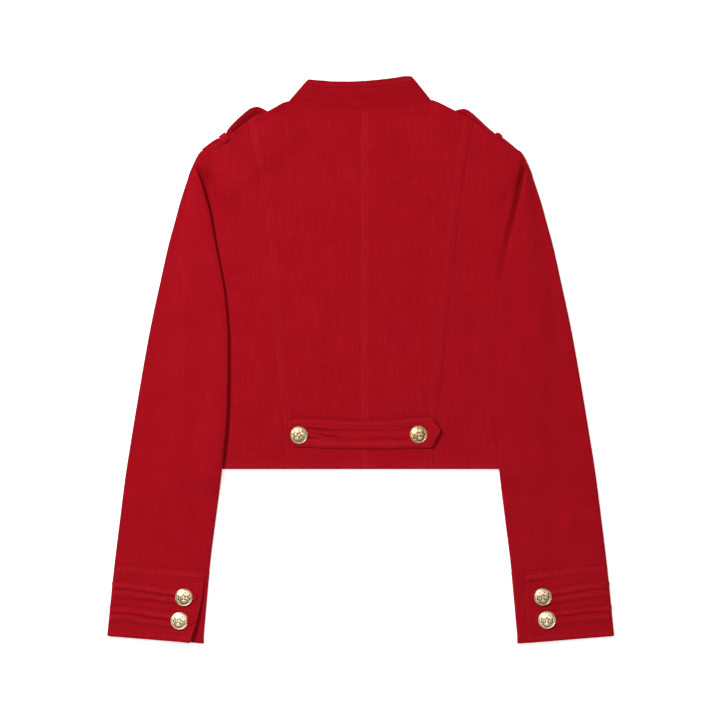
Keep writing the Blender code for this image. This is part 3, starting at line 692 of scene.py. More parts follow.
def body_panel(name, side, upper, lines_of, top_y, steps, look, side_edge=False,
               relief=smooth_cloth, rubs=None, raised=0.0):
    """A panel between two upright lines, near_x(y) and far_x(y), from its top edge to the hem.

    steps has the distances of the fine columns from each line, and the column and row steps
    between them. Its top edge rolls round the shoulder's fold, and with side_edge its far edge
    rolls round the side's fold. raised lifts the near edge over the other front's lap.
    """
    level = back_level if upper else front_level

    def height(x, y):
        return level(x, y) + relief(side, x, y)

    hem_rows = BACK_HEM_ROWS if upper else FRONT_HEM_ROWS
    edge = EDGE_WIDTH if side_edge else 0.0
    x, y, angles = panel_outline(side, lines_of, top_y, steps, hem_rows, edge)
    z = height(signed(side, x), y)
    if side_edge:
        fold = side_fold(side, upper, lines_of[1], y[:, -1:], height)
        x, y, z = (np.concatenate(both, axis=1) for both in zip((x, y, z), fold))
    at = signed(side, x)
    top = top_y(at)
    turned = np.sin(np.radians(angles))
    inset, rolled = fold_edge(at, top, angles, upper)
    strength = ease(NECK_SIDE_X - 3.0, NECK_SIDE_X + 5.0, x)
    rolling = angles < 89.9
    lip = SHOULDER_LIP[side] * strength * ease(189.0, 172.0, x) if upper else 0.0 * strength
    z = z + lip * ease(7.0, 1.0, top - y)
    drop = lerp(2.0 * (angles - FIRST_FOLD_ANGLE) / 90.0, 0.45 * inset, strength)
    flat_z = level(at, top) + (z - level(at, y)) * turned
    z = np.where(rolling, lerp(flat_z, rolled + lip * turned, strength), z)
    y = np.where(rolling, top - drop, y)
    z = z + raised * ease(LAP_RAMP[1], LAP_RAMP[0], x)
    rubbed = 0.0
    if rubs is not None:
        # Painted shade: the shoulder's edge is painted darker where its cloth turns under.
        rubbed = rubs(side, at, y) - 1.4 * ease(80.0, 40.0, angles) * ease(2.0, 0.5, top - y)
    return shell(name, grid_of(at, y, z), CLOTH, look, rubbed=rubbed)


# Distances of the columns beside a line: where stitches are, and where there are none.
FINE = np.arange(0.0, 11.6, 0.75)
PLAIN = np.array([0.0, 0.7, 1.5, 3.0])
BACK_STEPS = (2.5, 2.5)    # column and row steps
FRONT_STEPS = (4.5, 5.0)


def upright(x):
    """A straight line at one |X|."""
    return lambda y: np.full(np.shape(y), x)


def princess(side, past):
    """The princess seam's line, moved out by past."""
    return lambda y: princess_x[side](y) + past


def build_body(look):
    made = []
    for side in SIDES:
        made.append(body_panel(
            "back_centre_" + side, side, True, (upright(-SEAM_LAP), princess(side, SEAM_LAP)),
            back_top_y, (FINE, FINE) + BACK_STEPS, look, relief=centre_relief, rubs=centre_painted_light_and_wear))
        made.append(body_panel(
            "back_side_" + side, side, True, (princess(side, -SEAM_LAP), body_edge_x),
            back_top_y, (PLAIN, PLAIN[:2]) + BACK_STEPS, look, side_edge=True,
            relief=side_relief, rubs=side_painted_light_and_wear))
        made.append(body_panel(
            "front_" + side, side, False, (upright(-FRONT_LAP), body_edge_x),
            front_top_y, (PLAIN, PLAIN[:2]) + FRONT_STEPS, look, side_edge=True,
            raised=CLOTH + 0.3 if side == "left" else 0.0))
    return made


# ------------------------------------------------------------------- sleeve

CUFF_SLOPE = 0.08          # how far the lines across the cuff fall towards its inner edge
SEAM_X = 219.0             # |X| of the underarm seam
OPEN_END_Y = 78.0          # last open section, and the first closed one
TUBE_START_Y = 67.0
SLEEVE_END_Y = -246.3
CUFF_SEAM_RISE = 0.9       # how far the sleeve swells towards the thicker cuff
ARMHOLE_TOP_Y = 250.4

SLEEVE_CREASES = {
    "left": table(
        "x1      y1     x2      y2     bow   width height lean",
        (-196.0, 214.0, -222.0, 120.0, 4.0, 9.0, -0.5, 0.2),
        (-178.0, 70.0, -236.0, -6.0, 8.0, 12.0, -0.5, 0.3),
        (-190.0, 10.0, -240.0, -60.0, 6.0, 13.0, 0.45, 0.1),
        (-172.0, -60.0, -214.0, -120.0, 5.0, 10.0, -0.5, 0.3),
        (-222.0, -140.0, -236.0, -206.0, 3.0, 7.0, -0.6, 0.2),
        (-238.0, -120.0, -254.0, -200.0, -3.0, 8.0, 0.4, 0.0),
        (-190.0, -180.0, -206.0, -232.0, 2.0, 7.0, -0.45, 0.1),
        (-262.0, -60.0, -280.0, -190.0, 3.0, 7.0, -0.4, 0.0),
        (-236.0, 96.0, -246.0, 20.0, 3.0, 8.0, -0.35, 0.0),
    ),
    "right": table(
        "x1     y1     x2     y2     bow   width height lean",
        (252.0, -56.0, 262.0, -128.0, 2.0, 5.0, -0.6, 0.0),
        (250.0, -150.0, 218.0, -218.0, -4.0, 9.0, -0.7, 0.3),
        (262.0, -136.0, 238.0, -226.0, -4.0, 9.0, 0.5, 0.1),
        (196.0, -130.0, 190.0, -226.0, 3.0, 7.0, -0.45, 0.1),
        (176.0, 60.0, 228.0, -30.0, -6.0, 12.0, -0.45, 0.3),
        (184.0, 0.0, 224.0, -80.0, -6.0, 13.0, 0.4, 0.1),
        (176.0, -66.0, 206.0, -120.0, -4.0, 9.0, -0.45, 0.2),
        (210.0, 190.0, 226.0, 110.0, -4.0, 8.0, -0.4, 0.1),
        (232.0, 70.0, 244.0, -10.0, 2.0, 8.0, -0.3, 0.0),
    ),
}


def slope_at(y):
    return CUFF_SLOPE * ease(-150.0, -246.0, y)


def half_turn(x, first, last, hand, count):
    """count points of a half circle from one height to another, without its first one.

    It bulges from x to larger |X| with a hand of 1, and to smaller with -1.
    """
    turns = np.pi * np.arange(1, count + 1) / count
    radius = (last - first) / 2
    return np.stack([x + hand * abs(radius) * np.sin(turns),
                     (first + last) / 2 - radius * np.cos(turns)], axis=1)


def run(x_from, x_to, level, count):
    """count points of a layer from one |X| to another, without its first one."""
    spots = lerp(x_from, x_to, np.arange(1, count + 1) / count)
    return np.stack([spots, level(spots)], axis=1)


SLEEVE_RELIEF = 0.8        # share of their tables' height that the sleeves' creases have
SLEEVE_WIDTH = 110.0       # at the cuff
SLEEVE_FULL = 0.2          # how far the cloth's roundness carries the sleeve past its table
# Painted shade: how much darker each outer fold is painted, where its cloth turns under.
OUTLINE_PAINTED_SHADE = {"left": 3.2, "right": 1.5}
SLEEVE_ROW_STEPS = (2.0, 2.4, 2.6)     # open sections, those that join both, and closed ones
# Points round a section: before the inner fold, round it, over the top, round the outer fold, and
# under the sleeve.
SLEEVE_STEPS = {"lead": (14, 8, 10), "inner": 10, "upper": 54, "outer": 10, "under": 20}


def sleeve_section(side, y):
    """Points (|X|, height) from the seam round the sleeve and back to the seam."""
    outer = float(sleeve_line["outer"](y)) + SLEEVE_FULL - CLOTH / 2
    inner = float(sleeve_line[side](y - slope_at(y) * SLEEVE_WIDTH)) + CLOTH / 2
    inner = min(inner, outer - 5.2)
    tuck = float(sleeve_line["tuck"](y))
    steps = SLEEVE_STEPS

    def low(x):
        return sleeve_low_level(signed(side, x), y)

    def top(x):
        rise = CUFF_SEAM_RISE * ease(-222.0, -246.0, y) - 0.45 * dip(y - SLEEVE_END_Y, 1.6)
        rise = rise + along_fold(side, x, y, inner)
        return sleeve_top_level(signed(side, x), y, tuck, outer) + rise

    def strip(x):
        return back_level(signed(side, x), y) + beside_fold(side, x, y)

    def laid(x):
        return strip(x) + UNDER_RUN

    def floor(x):
        return front_level(signed(side, x), y)

    open_row = y > UNDERARM_Y
    under = laid if open_row else low
    fold = inner + (top(inner) - under(inner)) / 2
    rim = outer - (top(outer) - CLOTH / 2) / 2
    upper = run(fold, rim, top, steps["upper"])
    at = signed(side, upper[:, 0])
    shown = ease(fold, fold + 7.0, abs(at)) * ease(rim, rim - 6.0, abs(at))
    uneven = creases(SLEEVE_CREASES[side], at, y) + ripple(1.3 * at, 0.8 * y + 40.0)
    upper[:, 1] += SLEEVE_RELIEF * shown * uneven
    over = [half_turn(fold, under(fold), top(fold), -1, steps["inner"]), upper,
            half_turn(rim, top(rim), floor(rim) if open_row else CLOTH / 2, 1, steps["outer"])]
    first, second, third = steps["lead"]
    if not open_row:
        lead = [[[SEAM_X, low(SEAM_X)]], run(SEAM_X, SIDE_RAMP[0], low, first + second),
                run(SIDE_RAMP[0], fold, low, third)]
        return np.concatenate(lead + over + [run(rim, SEAM_X, low, steps["under"])])
    start = float(armhole_x(y)) - 0.1 + 2.6 * ease(112.0, 78.0, y)
    hidden = max(tuck - UNDER_RUN / 2, start + 1.2)
    lead = [[[start, strip(start)]], run(start, hidden, strip, first),
            half_turn(hidden, strip(hidden), laid(hidden), 1, second),
            run(hidden, fold, laid, third)]
    # Above the fold's start the cloth is one smooth layer out to the outline.
    plain_turn = (strip(rim) - floor(rim)) / 2
    edge = outer - plain_turn
    rise = min(fold, edge - 1.6)
    middle = (strip(edge) + floor(edge)) / 2
    plain = [[[start, strip(start)]], run(start, rise, strip, first),
             run(rise, rise + 0.8, strip, second + third + steps["inner"]),
             run(rise + 0.8, edge, strip, steps["upper"]),
             half_turn(edge, middle + plain_turn, middle - plain_turn, 1, steps["outer"])]
    path = lerp(np.concatenate(plain), np.concatenate(lead + over), ease(240.0, 221.0, y))
    return np.concatenate([path, run(path[-1, 0], start, floor, steps["under"])])


def build_sleeve(side, look):
    open_step, joining_step, closed_step = SLEEVE_ROW_STEPS
    open_rows = spread(ARMHOLE_TOP_Y, OPEN_END_Y, open_step)
    joining = spread(OPEN_END_Y, TUBE_START_Y, joining_step)[1:-1]
    closed_rows = spread(TUBE_START_Y, SLEEVE_END_Y, closed_step)
    last_open = sleeve_section(side, OPEN_END_Y)
    first_closed = sleeve_section(side, TUBE_START_Y)
    sections = [sleeve_section(side, y) for y in open_rows]
    for share in (OPEN_END_Y - joining) / (OPEN_END_Y - TUBE_START_Y):
        sections.append(lerp(last_open, first_closed, share))
    sections += [sleeve_section(side, y) for y in closed_rows]
    rows = np.concatenate([open_rows, joining, closed_rows])[:, None]
    sections = np.array(sections)
    x, z = sections[..., 0], sections[..., 1]
    y = rows - slope_at(rows) * (sleeve_line["outer"](rows) - x)
    strip = np.arange(x.shape[1]) <= SLEEVE_STEPS["lead"][0]
    # Painted shade on the head's strip beside the inner fold, and along the outer fold.
    rubs = np.where(strip, -fold_shade(side, x, rows), 0.0)
    rubs = rubs - OUTLINE_PAINTED_SHADE[side] * ease(2.6, 0.6, sleeve_line["outer"](rows) + SLEEVE_FULL - x)
    return shell("sleeve_" + side, grid_of(signed(side, x), y, z), CLOTH, look,
                 tube_from=len(open_rows) + len(joining), rubbed=rubs)


# --------------------------------------------------------------------- cuff

CUFF_TOP_Y = -246.4        # the cuff's seam at the outer fold
CUFF_BOTTOM_Y = -331.7     # a little lower than the model's, for its rounded edge
CUFF_FLAT = 5.8            # middle of the cuff's upper layer over the floor
CUFF_UNDERLAP = 4.3        # middle of the underlap
CUFF_OVERLAP = 6.8         # middle of the overlap, on the underlap
UNDERLAP_LENGTH = 17.0


def cuff_edge_x(side, share):
    top, bottom, bow = CUFF_EDGE[side]
    return lerp(top, bottom, share) + 4 * bow * share * (1 - share)


def slanted(outer, x, y):
    """Y at x on a line across the cuff that starts at y on its outer edge."""
    return y - CUFF_SLOPE * (outer - x)


# The left cuff's vent gapes towards its lower end: how far its edge lifts and its underlap sinks.
VENT_LIFT = {"left": 5.6, "right": 0.0}
VENT_SINK = {"left": 1.6, "right": 0.0}
VENT_SNUG = {"left": 0.0, "right": 0.45}   # how far the edge is pressed down instead


def cuff_level(side, x, share):
    """Upper layer of the cuff: it climbs on to the underlap near its edge."""
    edge = cuff_edge_x(side, share)
    level = lerp(CUFF_FLAT, CUFF_OVERLAP, ease(edge + 42.0, edge + UNDERLAP_LENGTH + 1.5, x))
    gape = ease(0.05, 0.95, share) * ease(edge + 16.0, edge, x)
    snug = VENT_SNUG[side] * ease(edge + 6.0, edge, x)
    return level + VENT_LIFT[side] * gape - snug


def underlap_level(side, x, share):
    edge = cuff_edge_x(side, share)
    gape = ease(0.05, 0.95, share) * ease(edge - 9.0, edge - 1.0, x)
    # Its top, and all of it on the right cuff, comes up level with the upper layer.
    flush = ease(0.20, 0.09, share) if side == "left" else 0.75
    flush = flush * ease(edge + 3.0, edge - 1.0, x)
    return CUFF_UNDERLAP - VENT_SINK[side] * gape + 2.1 * flush


CUFF_HEM_ROW = 8.0         # stitches above the cuff's lower edge
CUFF_TOP_ROWS = (1.8, 8.6)  # and below its upper edge
SEAM_DRAWN = {"left": 1.0, "right": 1.5}   # how hard each cuff's seam is drawn in, near its vent
SEAM_SAG = {"left": 0.0, "right": 5.0}     # how far the drawn lines fall there
# Distance from the cuff's upper edge, width and depth of the drawn lines, and of two more that
# are only near the vent.
SEAM_GROOVES = ((0.0, 1.1, 0.7), (8.6, 1.1, 0.75))
VENT_GROOVES = {"left": ((12.4, 1.1, 0.6), (3.2, 1.0, 0.6)), "right": ()}


def cuff_folds(down, x):
    """Small folds across the cuff, between about -1 and 1."""
    return wobble(down / 2.4 + 0.6 * np.sin(x / 19.0), 1.0)


def cuff_relief(side, down, length, x):
    """Relief of the cuff's upper layer; down is the distance from its upper edge."""
    up = length - down
    drawn_in = SEAM_DRAWN[side] * lerp(0.25, 1.0, ease(232.0, 206.0, x))
    drawn_in = drawn_in * (1 + 0.5 * wobble(x / 8.0, 2.0))
    below = down - SEAM_SAG[side] * ease(262.0, 198.0, x)
    total = turnings(down, 9.4, 0.45) + turnings(up, 9.0, 0.3) + 0.4 * dip(below - 4.6, 2.2)
    total = total - drawn_in * lines(below, SEAM_GROOVES)
    total = total - 0.5 * dip(down, 1.2) * ease(262.0, 284.0, x)
    total = total - ease(235.0, 205.0, x) * lines(down, VENT_GROOVES[side])
    total = total + 1.5 * furrows(down, CUFF_TOP_ROWS, x, 2.0, 1.0)
    total = total + 1.5 * furrow(up, CUFF_HEM_ROW, x, 5.0)
    total = total + 0.22 * cuff_folds(down, x) * ease(24.0, 34.0, down)
    total = total + 0.2 * wobble(x / 5.0, 1.0) * dip(down - 9.0, 8.0)
    return total + 0.7 * ripple(x, down * 2.0)


def cuff_painted_light_and_wear(down, length, x):
    """How much the cuff's colour is made lighter on its seam, hem and fold crests, as painted
    highlight and wear, and darker beside its hem's stitches and on its lower edge, as painted shade.
    """
    up = length - down
    seam = 1.7 * dip(down - 5.0, 1.7) * (0.7 + 0.7 * wobble(x / 1.1, 1.0))
    seam = seam + 0.6 * dip(down - 7.2, 1.2)
    hem = 1.3 * dip(up - 5.0, 1.9) * (0.7 + 0.6 * wobble(x / 1.2, 2.0))
    light = seam + 0.35 * np.maximum(0.0, cuff_folds(down, x)) + hem
    dark = 1.4 * dip(up - CUFF_HEM_ROW, 0.8) * (0.7 + 0.5 * wobble(x / 1.1, 4.0))
    return light * (1 + 0.5 * wobble(x / 7.0, 3.0)) - dark - 1.8 * dip(up, 0.9)


def tab_beds(side, x, y):
    """The groove in the cuff along the upper edge of each tab."""
    total = 0.0 * x
    for tab in TABS:
        past = y - tab_middle(tab, side, x) - TAB_WIDTH / 2
        shown = ease(tab["x_" + side] - tab["tip"] + 4.0, tab["x_" + side], x)
        depth = TAB_PULL[side] * (1 + 0.4 * wobble(x / 8.0, tab["tip"]))
        total = total - 0.35 * depth * shown * dip(past - 0.4, 1.2)
    return total


CUFF_STEPS = {"upper": 84, "lower": 24, "fold": 8}
CUFF_ROW_STEP = 1.1
CUFF_FULL = 0.3            # how far the cuff passes the sleeve's outline on both sides


def build_cuff(side, look):
    grid, painted_and_worn = [], []
    length = CUFF_TOP_Y - CUFF_BOTTOM_Y
    steps = CUFF_STEPS
    for down in spread(0.0, length, CUFF_ROW_STEP):
        share = down / length
        y = CUFF_TOP_Y - down
        outer = float(sleeve_line["outer"](y)) - DOUBLE / 2 + CUFF_FULL
        inner = float(sleeve_line[side](y - 9.0)) + DOUBLE / 2 - CUFF_FULL
        edge = cuff_edge_x(side, share)
        low = DOUBLE / 2
        fold, rim = inner + (CUFF_UNDERLAP - low) / 2, outer - (CUFF_FLAT - low) / 2
        upper = run(rim, edge, lambda x: cuff_level(side, x, share), steps["upper"])
        at = upper[:, 0]
        upper[:, 1] += ease(rim, rim - 3.0, at) * (cuff_relief(side, down, length, at)
                                                   + tab_beds(side, at, slanted(outer, at, y)))
        hidden = edge + UNDERLAP_LENGTH
        path = np.concatenate([
            [[hidden, underlap_level(side, hidden, share)]],
            run(hidden, fold, lambda x: underlap_level(side, x, share), steps["lower"]),
            half_turn(fold, CUFF_UNDERLAP, low, -1, steps["fold"]),
            run(fold, rim, lambda x: 0 * x + low, steps["lower"]),
            half_turn(rim, low, CUFF_FLAT, 1, steps["fold"]),
            upper])
        x, z = path[:, 0], path[:, 1]
        grid.append(grid_of(signed(side, x), slanted(outer, x, y), z))
        # Wear, painted highlight and painted shade on the upper layer, and painted shade along the
        # outer fold.
        rubs = np.where(np.arange(len(path)) < len(path) - len(upper), 0.0,
                        cuff_painted_light_and_wear(down, length, x))
        painted_and_worn.append(rubs - OUTLINE_PAINTED_SHADE[side] * ease(2.4, 0.6, outer + DOUBLE / 2 - x))
    return shell("cuff_" + side, np.array(grid), DOUBLE, look, rounding=0.6, rubbed=np.array(painted_and_worn))


TAB_WIDTH = 19.0
TAB_POINT = 8.0            # length of a tab's pointed end
TAB_SUNK = 0.5             # the tabs are sewn down close, so they hardly stand over the cuff
TAB_REACH = 4.3            # how far a tab follows the cuff round its outer fold
TAB_PULL = {"left": 1.2, "right": 1.0}     # how strongly each cuff's tabs are creased
# How far over its middle a tab's crease lies, at its fold and at its button, in half widths.
TAB_CREASE = {"lower_right": (0.15, 0.38)}


def tab_name(tab, side):
    return "cuff_tab_{}_{}".format(tab["name"], side)


def tab_start(tab):
    """|X| of a tab's end at the cuff's outer fold."""
    return float(sleeve_line["outer"](tab["y_start"])) - 5.0


def tab_middle(tab, side, x):
    return lerp(tab["y_start"], tab["y_" + side], ease(tab_start(tab), tab["x_" + side], x))


def build_tab(side, tab, look):
    """A pointed tab across the cuff, with a crease down its middle as far as the buttonhole."""
    button_x = tab["x_" + side]
    share = (CUFF_TOP_Y - tab["y_" + side]) / (CUFF_TOP_Y - CUFF_BOTTOM_Y)
    start_x = tab_start(tab)
    tip_x = button_x - tab["tip"]
    x = np.concatenate([spread(start_x + TAB_REACH, tip_x + TAB_POINT, 1.2),
                        spread(tip_x + TAB_POINT, tip_x, 0.8)[1:]])[:, None]
    half = TAB_WIDTH / 2 * np.minimum(1.0, 0.04 + 0.96 * (x - tip_x) / TAB_POINT)
    across = np.linspace(-1.0, 1.0, 23)[None, :]
    to_hole = ease(button_x + 6.0, button_x + 12.0, x)
    pull = TAB_PULL[side] * lerp(0.75, 1.15, ease(288.0, 236.0, x))
    over = lerp(*TAB_CREASE.get(tab["name"] + "_" + side, (0.0, 0.0)), ease(start_x, button_x, x))
    bend = 0.05 * wobble(x / 9.0, tab["tip"]) - over
    groove = pull * (1.0 + 0.35 * wobble(x / 7.0, 2.0)) * dip(across + bend, 0.12) * to_hole
    ridges = (0.25 + 0.75 * pull * to_hole) * dip(abs(across + 0.5 * bend) - 0.45, 0.27)
    sewn = 0.75 * pull * ease(0.68, 1.0, abs(across))
    uneven = 0.22 * wobble(x / 6.0, tab["tip"] + 2 * across) * (1 - abs(across) ** 4)
    base = DOUBLE / 2 - TAB_SUNK + TAB_THICK / 2
    z = cuff_level(side, x, share) + base + ridges - groove - sewn + uneven
    z = z - 2.6 * ease(start_x + 1.0, start_x + TAB_REACH + 0.6, x) ** 1.5
    grid = grid_of(signed(side, x), tab_middle(tab, side, x) + half * across, z)
    # Painted highlight along the crests of the tab's ridges.
    crest = dip(abs(across + 0.5 * bend) - 0.5, 0.2) * (1 + 0.5 * wobble(x / 5.0, 3 * across))
    rubs = (0.45 + 0.6 * pull) * crest * ease(tip_x + 2.0, tip_x + 12.0, x)
    return shell(tab_name(tab, side), grid, TAB_THICK, look, rounding=0.5, rubbed=rubs)


# ------------------------------------------------------------ belt, buttons

# Height of the belt's face over its plain level, from its upper edge down.
BELT_FACE = table(
    "down  height",
    (0.0, -0.5),
    (1.6, 0.1),
    (4.6, 0.3),
    (6.6, -0.05),
    (8.8, 0.2),
    (11.4, -0.65),
    (14.0, 0.2),
    (17.0, 0.65),
    (20.0, 0.35),
    (22.0, -0.1),
    (25.8, 0.85),
    (28.6, 0.7),
    (30.6, 0.2),
    (32.2, -0.6),
)
BELT_BUTTONS = table(
    "name     x      y",
    ("left", -74.0, -90.5),
    ("right", 69.4, -89.6),
)
BELT_CREASES = table(
    "x1     y1     x2     y2     bow   width height lean",
    (-76.0, -80.6, -24.0, -85.6, 0.3, 1.8, -1.9, 0.3),
    (-74.0, -85.4, -12.0, -95.0, 0.9, 1.9, -2.1, 0.3),
    (-72.0, -91.0, -40.0, -97.0, 0.5, 1.7, -1.2, 0.3),
    (-70.0, -83.6, -24.0, -90.4, 0.6, 2.2, 0.7, 0.0),
    (-60.0, -94.0, -18.0, -97.4, 0.6, 2.2, 0.6, 0.0),
    (34.0, -81.0, 68.0, -83.6, -0.4, 2.2, -1.1, 0.2),
    (40.0, -86.4, 66.0, -88.4, 0.6, 2.0, -0.9, 0.2),
    (4.0, -93.6, 34.0, -94.8, 0.6, 1.7, -0.5, 0.2),
)
BELT_ROWS = (1.9, 6.6)
BELT_SUNK = 0.1
BELT_DEPTH = BELT_FACE[-1]["down"]


def build_belt(look):
    tip_left, left, right, tip_right = (BELT[row]["x"] for row in (0, 2, -3, -1))
    x = np.concatenate([spread(tip_left, left, 0.8), spread(left, right, 1.3)[1:],
                        spread(right, tip_right, 0.8)[1:]])[:, None]
    top, bottom = belt_line["top"](x), belt_line["bottom"](x)
    y = lerp(top, bottom, np.linspace(0.0, 1.0, 61)[None, :])
    from_top, from_bottom = top - y, y - bottom
    down = BELT_DEPTH * from_top / (top - bottom)
    moved = 0.5 * wobble(x / 12.0, 1.0) * ease(0.0, 5.0, down) * ease(BELT_DEPTH, 27.0, down)
    face = curve(BELT_FACE, "height", key="down")(down + moved)
    between = ease(-84.0, -70.0, x) * ease(84.0, 72.0, x)
    base = CLOTH / 2 - BELT_SUNK + BELT_THICK / 2
    z = back_level(x, y) + base + 0.3 * (1 - between) * ease(0.0, 5.0, from_top)
    z = z + 1.3 * face * (1 + 0.3 * wobble(x / 15.0, 3.0)) * lerp(0.45, 1.0, between)
    z = z + 0.5 * ease(9.0, 2.0, from_bottom)
    z = z + 0.6 * (furrows(from_top, BELT_ROWS, x, 1.0, 1.0)
                   + furrows(from_bottom, BELT_ROWS, x, 4.0, 1.0))
    z = z + creases(BELT_CREASES, x, y) / CREASE_DEPTH + 0.8 * ripple(x, y)
    # Both ends stand off the back, the pointed one further.
    z = z + 3.2 * ease(70.0, 92.0, x) + 1.6 * ease(-82.0, -91.0, x)
    # Painted highlight on the face's crests, along its upper edge and over the puckers beside its rows
    # of stitches.
    crest = np.clip(face / 0.8, 0.0, 1.0) * (1 + 0.4 * wobble(x / 6.0, 2.0))
    puckers = 0.55 + 0.65 * wobble(x / 1.1, 4.0)
    rubs = 0.75 * crest * between + 0.4 * dip(from_top - 1.6, 1.2)
    rubs = rubs + 0.9 * puckers * (dip(from_bottom - 4.2, 1.6) + 0.5 * dip(from_top - 4.4, 1.4))
    return shell("half_belt", grid_of(x, y, z), BELT_THICK, look, rounding=0.6, rubbed=rubs)


# A button's upper surface, from its middle out: share of its radius and height.
BUTTON_PROFILE = table(
    "share height",
    (0.0, 3.5),
    (0.3, 3.32),
    (0.6, 2.78),
    (0.8, 2.14),
    (0.86, 1.98),
    (0.91, 2.06),
    (0.95, 1.88),
    (0.985, 1.45),
    (1.0, 0.95),
)
BUTTON_UNDER = table("share height", (0.985, 0.7), (0.93, 0.25), (0.8, 0.0))
BUTTON_TURNS = 120
BUTTON_CLEAR = 0.25        # between a button's base and the cloth under it
# How much more than the blots on all of them each button is tarnished, and how far it is turned.
BUTTON_LOOKS = {row["name"]: row for row in table(
    "name               tarnish turned",
    ("belt_left", 0.35, -0.5),
    ("belt_right", 0.6, 0.35),
    ("cuff_upper_left", 0.1, 0.05),
    ("cuff_lower_left", -0.4, -0.3),
    ("cuff_upper_right", 0.25, 0.1),
    ("cuff_lower_right", -0.3, -0.08),
)}


def motif(u, v):
    """1 along the sunk lines of a plain flower between two scalloped sprigs, 0 elsewhere.

    u is to the right and v up, in shares of the button's radius.
    """
    turn, out = np.arctan2(v + 0.02, u), np.hypot(u, v + 0.02)
    total = dip(out - 0.23 - 0.08 * np.cos(5 * turn - math.pi / 2), 0.075)
    for hand in (-1, 1):
        turn, out = np.degrees(np.arctan2(v, hand * u)), np.hypot(u, v)
        sprig = ease(-72.0, -60.0, turn) * ease(28.0, 12.0, turn)
        leaves = 0.54 + 0.15 * abs(np.sin(np.radians(4.5 * turn)))
        total = np.maximum(total, sprig * dip(out - leaves, 0.08))
        total = np.maximum(total, 0.8 * sprig * dip(out - 0.46, 0.06))
        veins = 0.6 * sprig * dip(np.sin(np.radians(9.0 * turn)), 0.45)
        total = np.maximum(total, veins * ease(0.44, 0.50, out) * ease(0.72, 0.64, out))
        total = np.maximum(total, dip(np.hypot(u - 0.22 * hand, v + 0.72), 0.09))
        total = np.maximum(total, 0.8 * dip(np.hypot(u - 0.24 * hand, v - 0.56), 0.085))
    total = np.maximum(total, dip(np.hypot(u, v + 0.76), 0.09))
    return np.maximum(total, 0.5 * dip(np.hypot(u, v) - 0.87, 0.035))


def build_button(name, x, y, z, look):
    looks = BUTTON_LOOKS[name]
    shares = np.concatenate([np.linspace(0.02, 0.8, 30), np.linspace(0.82, 1.0, 14)])[:, None]
    turn = np.linspace(0.0, 2 * math.pi, BUTTON_TURNS, endpoint=False)[None, :]
    sunk = motif(shares * np.cos(turn - looks["turned"]), shares * np.sin(turn - looks["turned"]))
    heights = curve(BUTTON_PROFILE, "height", key="share")(shares) - 0.35 * sunk
    under = np.array([(row["share"], row["height"]) for row in BUTTON_UNDER])
    heights = np.concatenate([heights, np.tile(under[:, 1:], BUTTON_TURNS)])
    rings = BUTTON_D / 2 * np.concatenate([shares, under[:, :1]])
    points = grid_of(rings * np.cos(turn), rings * np.sin(turn), heights).reshape(-1, 3)
    ends = [[0.0, 0.0, BUTTON_PROFILE[0]["height"]], [0.0, 0.0, 0.0]]
    points = np.concatenate([points, ends]) + (x, y, z)
    faces = []
    rows, n = len(rings), BUTTON_TURNS
    for j in range(n):
        k = (j + 1) % n
        for i in range(rows - 1):
            faces.append((i * n + j, (i + 1) * n + j, (i + 1) * n + k, i * n + k))
        faces.append((rows * n, j, k))
        faces.append((rows * n + 1, (rows - 1) * n + k, (rows - 1) * n + j))
    crown = np.zeros(len(points))
    crown[: sunk.size] = sunk.reshape(-1)
    mesh = mesh_of("metal_button_" + name, points, faces, look, sunk=crown,
                   tarnish=np.full(len(points), looks["tarnish"]))
    return put_in_scene("metal_button_" + name, mesh)


def button_places():
    """Each button's name, the piece that it is sewn through, and its place."""
    for row in BELT_BUTTONS:
        yield "belt_" + row["name"], "half_belt", row["x"], row["y"]
    for side in SIDES:
        for tab in TABS:
            yield ("cuff_{}_{}".format(tab["name"], side), tab_name(tab, side),
                   signed(side, tab["x_" + side]), tab["y_" + side])


# ------------------------------------------------------------------- collar

COLLAR_LOW = DOUBLE / 2    # middle of its front half
COLLAR_HIGH = 5.0          # and of its back half at the seam
COLLAR_TOP = table(
    "x      y",
    (-64.4, 334.2),
    (-61.4, 336.2),
    (-54.0, 335.4),
    (-44.0, 334.8),
    (-34.0, 333.9),
    (-15.0, 333.7),
    (4.0, 334.5),
    (23.0, 336.1),
    (42.5, 338.5),
    (54.0, 340.2),
    (59.0, 340.1),
    (62.2, 337.8),
)
COLLAR_ENDS = {"left": (85.6, 64.4), "right": (83.6, 62.2)}    # |X| at its seam and its top
COLLAR_BASE_GAP = -0.1     # the back's edge lies a little over it
COLLAR_FRONT_GAP = 1.3
COLLAR_MEET_X = 0.6        # where its front halves end
COLLAR_RISE = 3.2          # its top edge stands higher than its seam
COLLAR_ROWS = (4.6, 9.4)
# Lines along its top edge, painted lighter as painted highlight or darker as painted shade: distance,
# width and strength.
COLLAR_PAINTED_LIGHT = ((3.4, 2.0, 0.9), (0.0, 1.3, -2.0), (7.4, 1.2, -0.6))
collar_top_y = curve(COLLAR_TOP, "y", key="x")


def collar_back_point(share, height):
    """A point of the collar's back half: share from left to right, height from its seam up."""
    base_x = lerp(-COLLAR_ENDS["left"][0], COLLAR_ENDS["right"][0], share)
    top_x = lerp(-COLLAR_ENDS["left"][1], COLLAR_ENDS["right"][1], share)
    base_y = back_top_y(base_x) + COLLAR_BASE_GAP
    return lerp(base_x, top_x, height), lerp(base_y, collar_top_y(top_x), height)


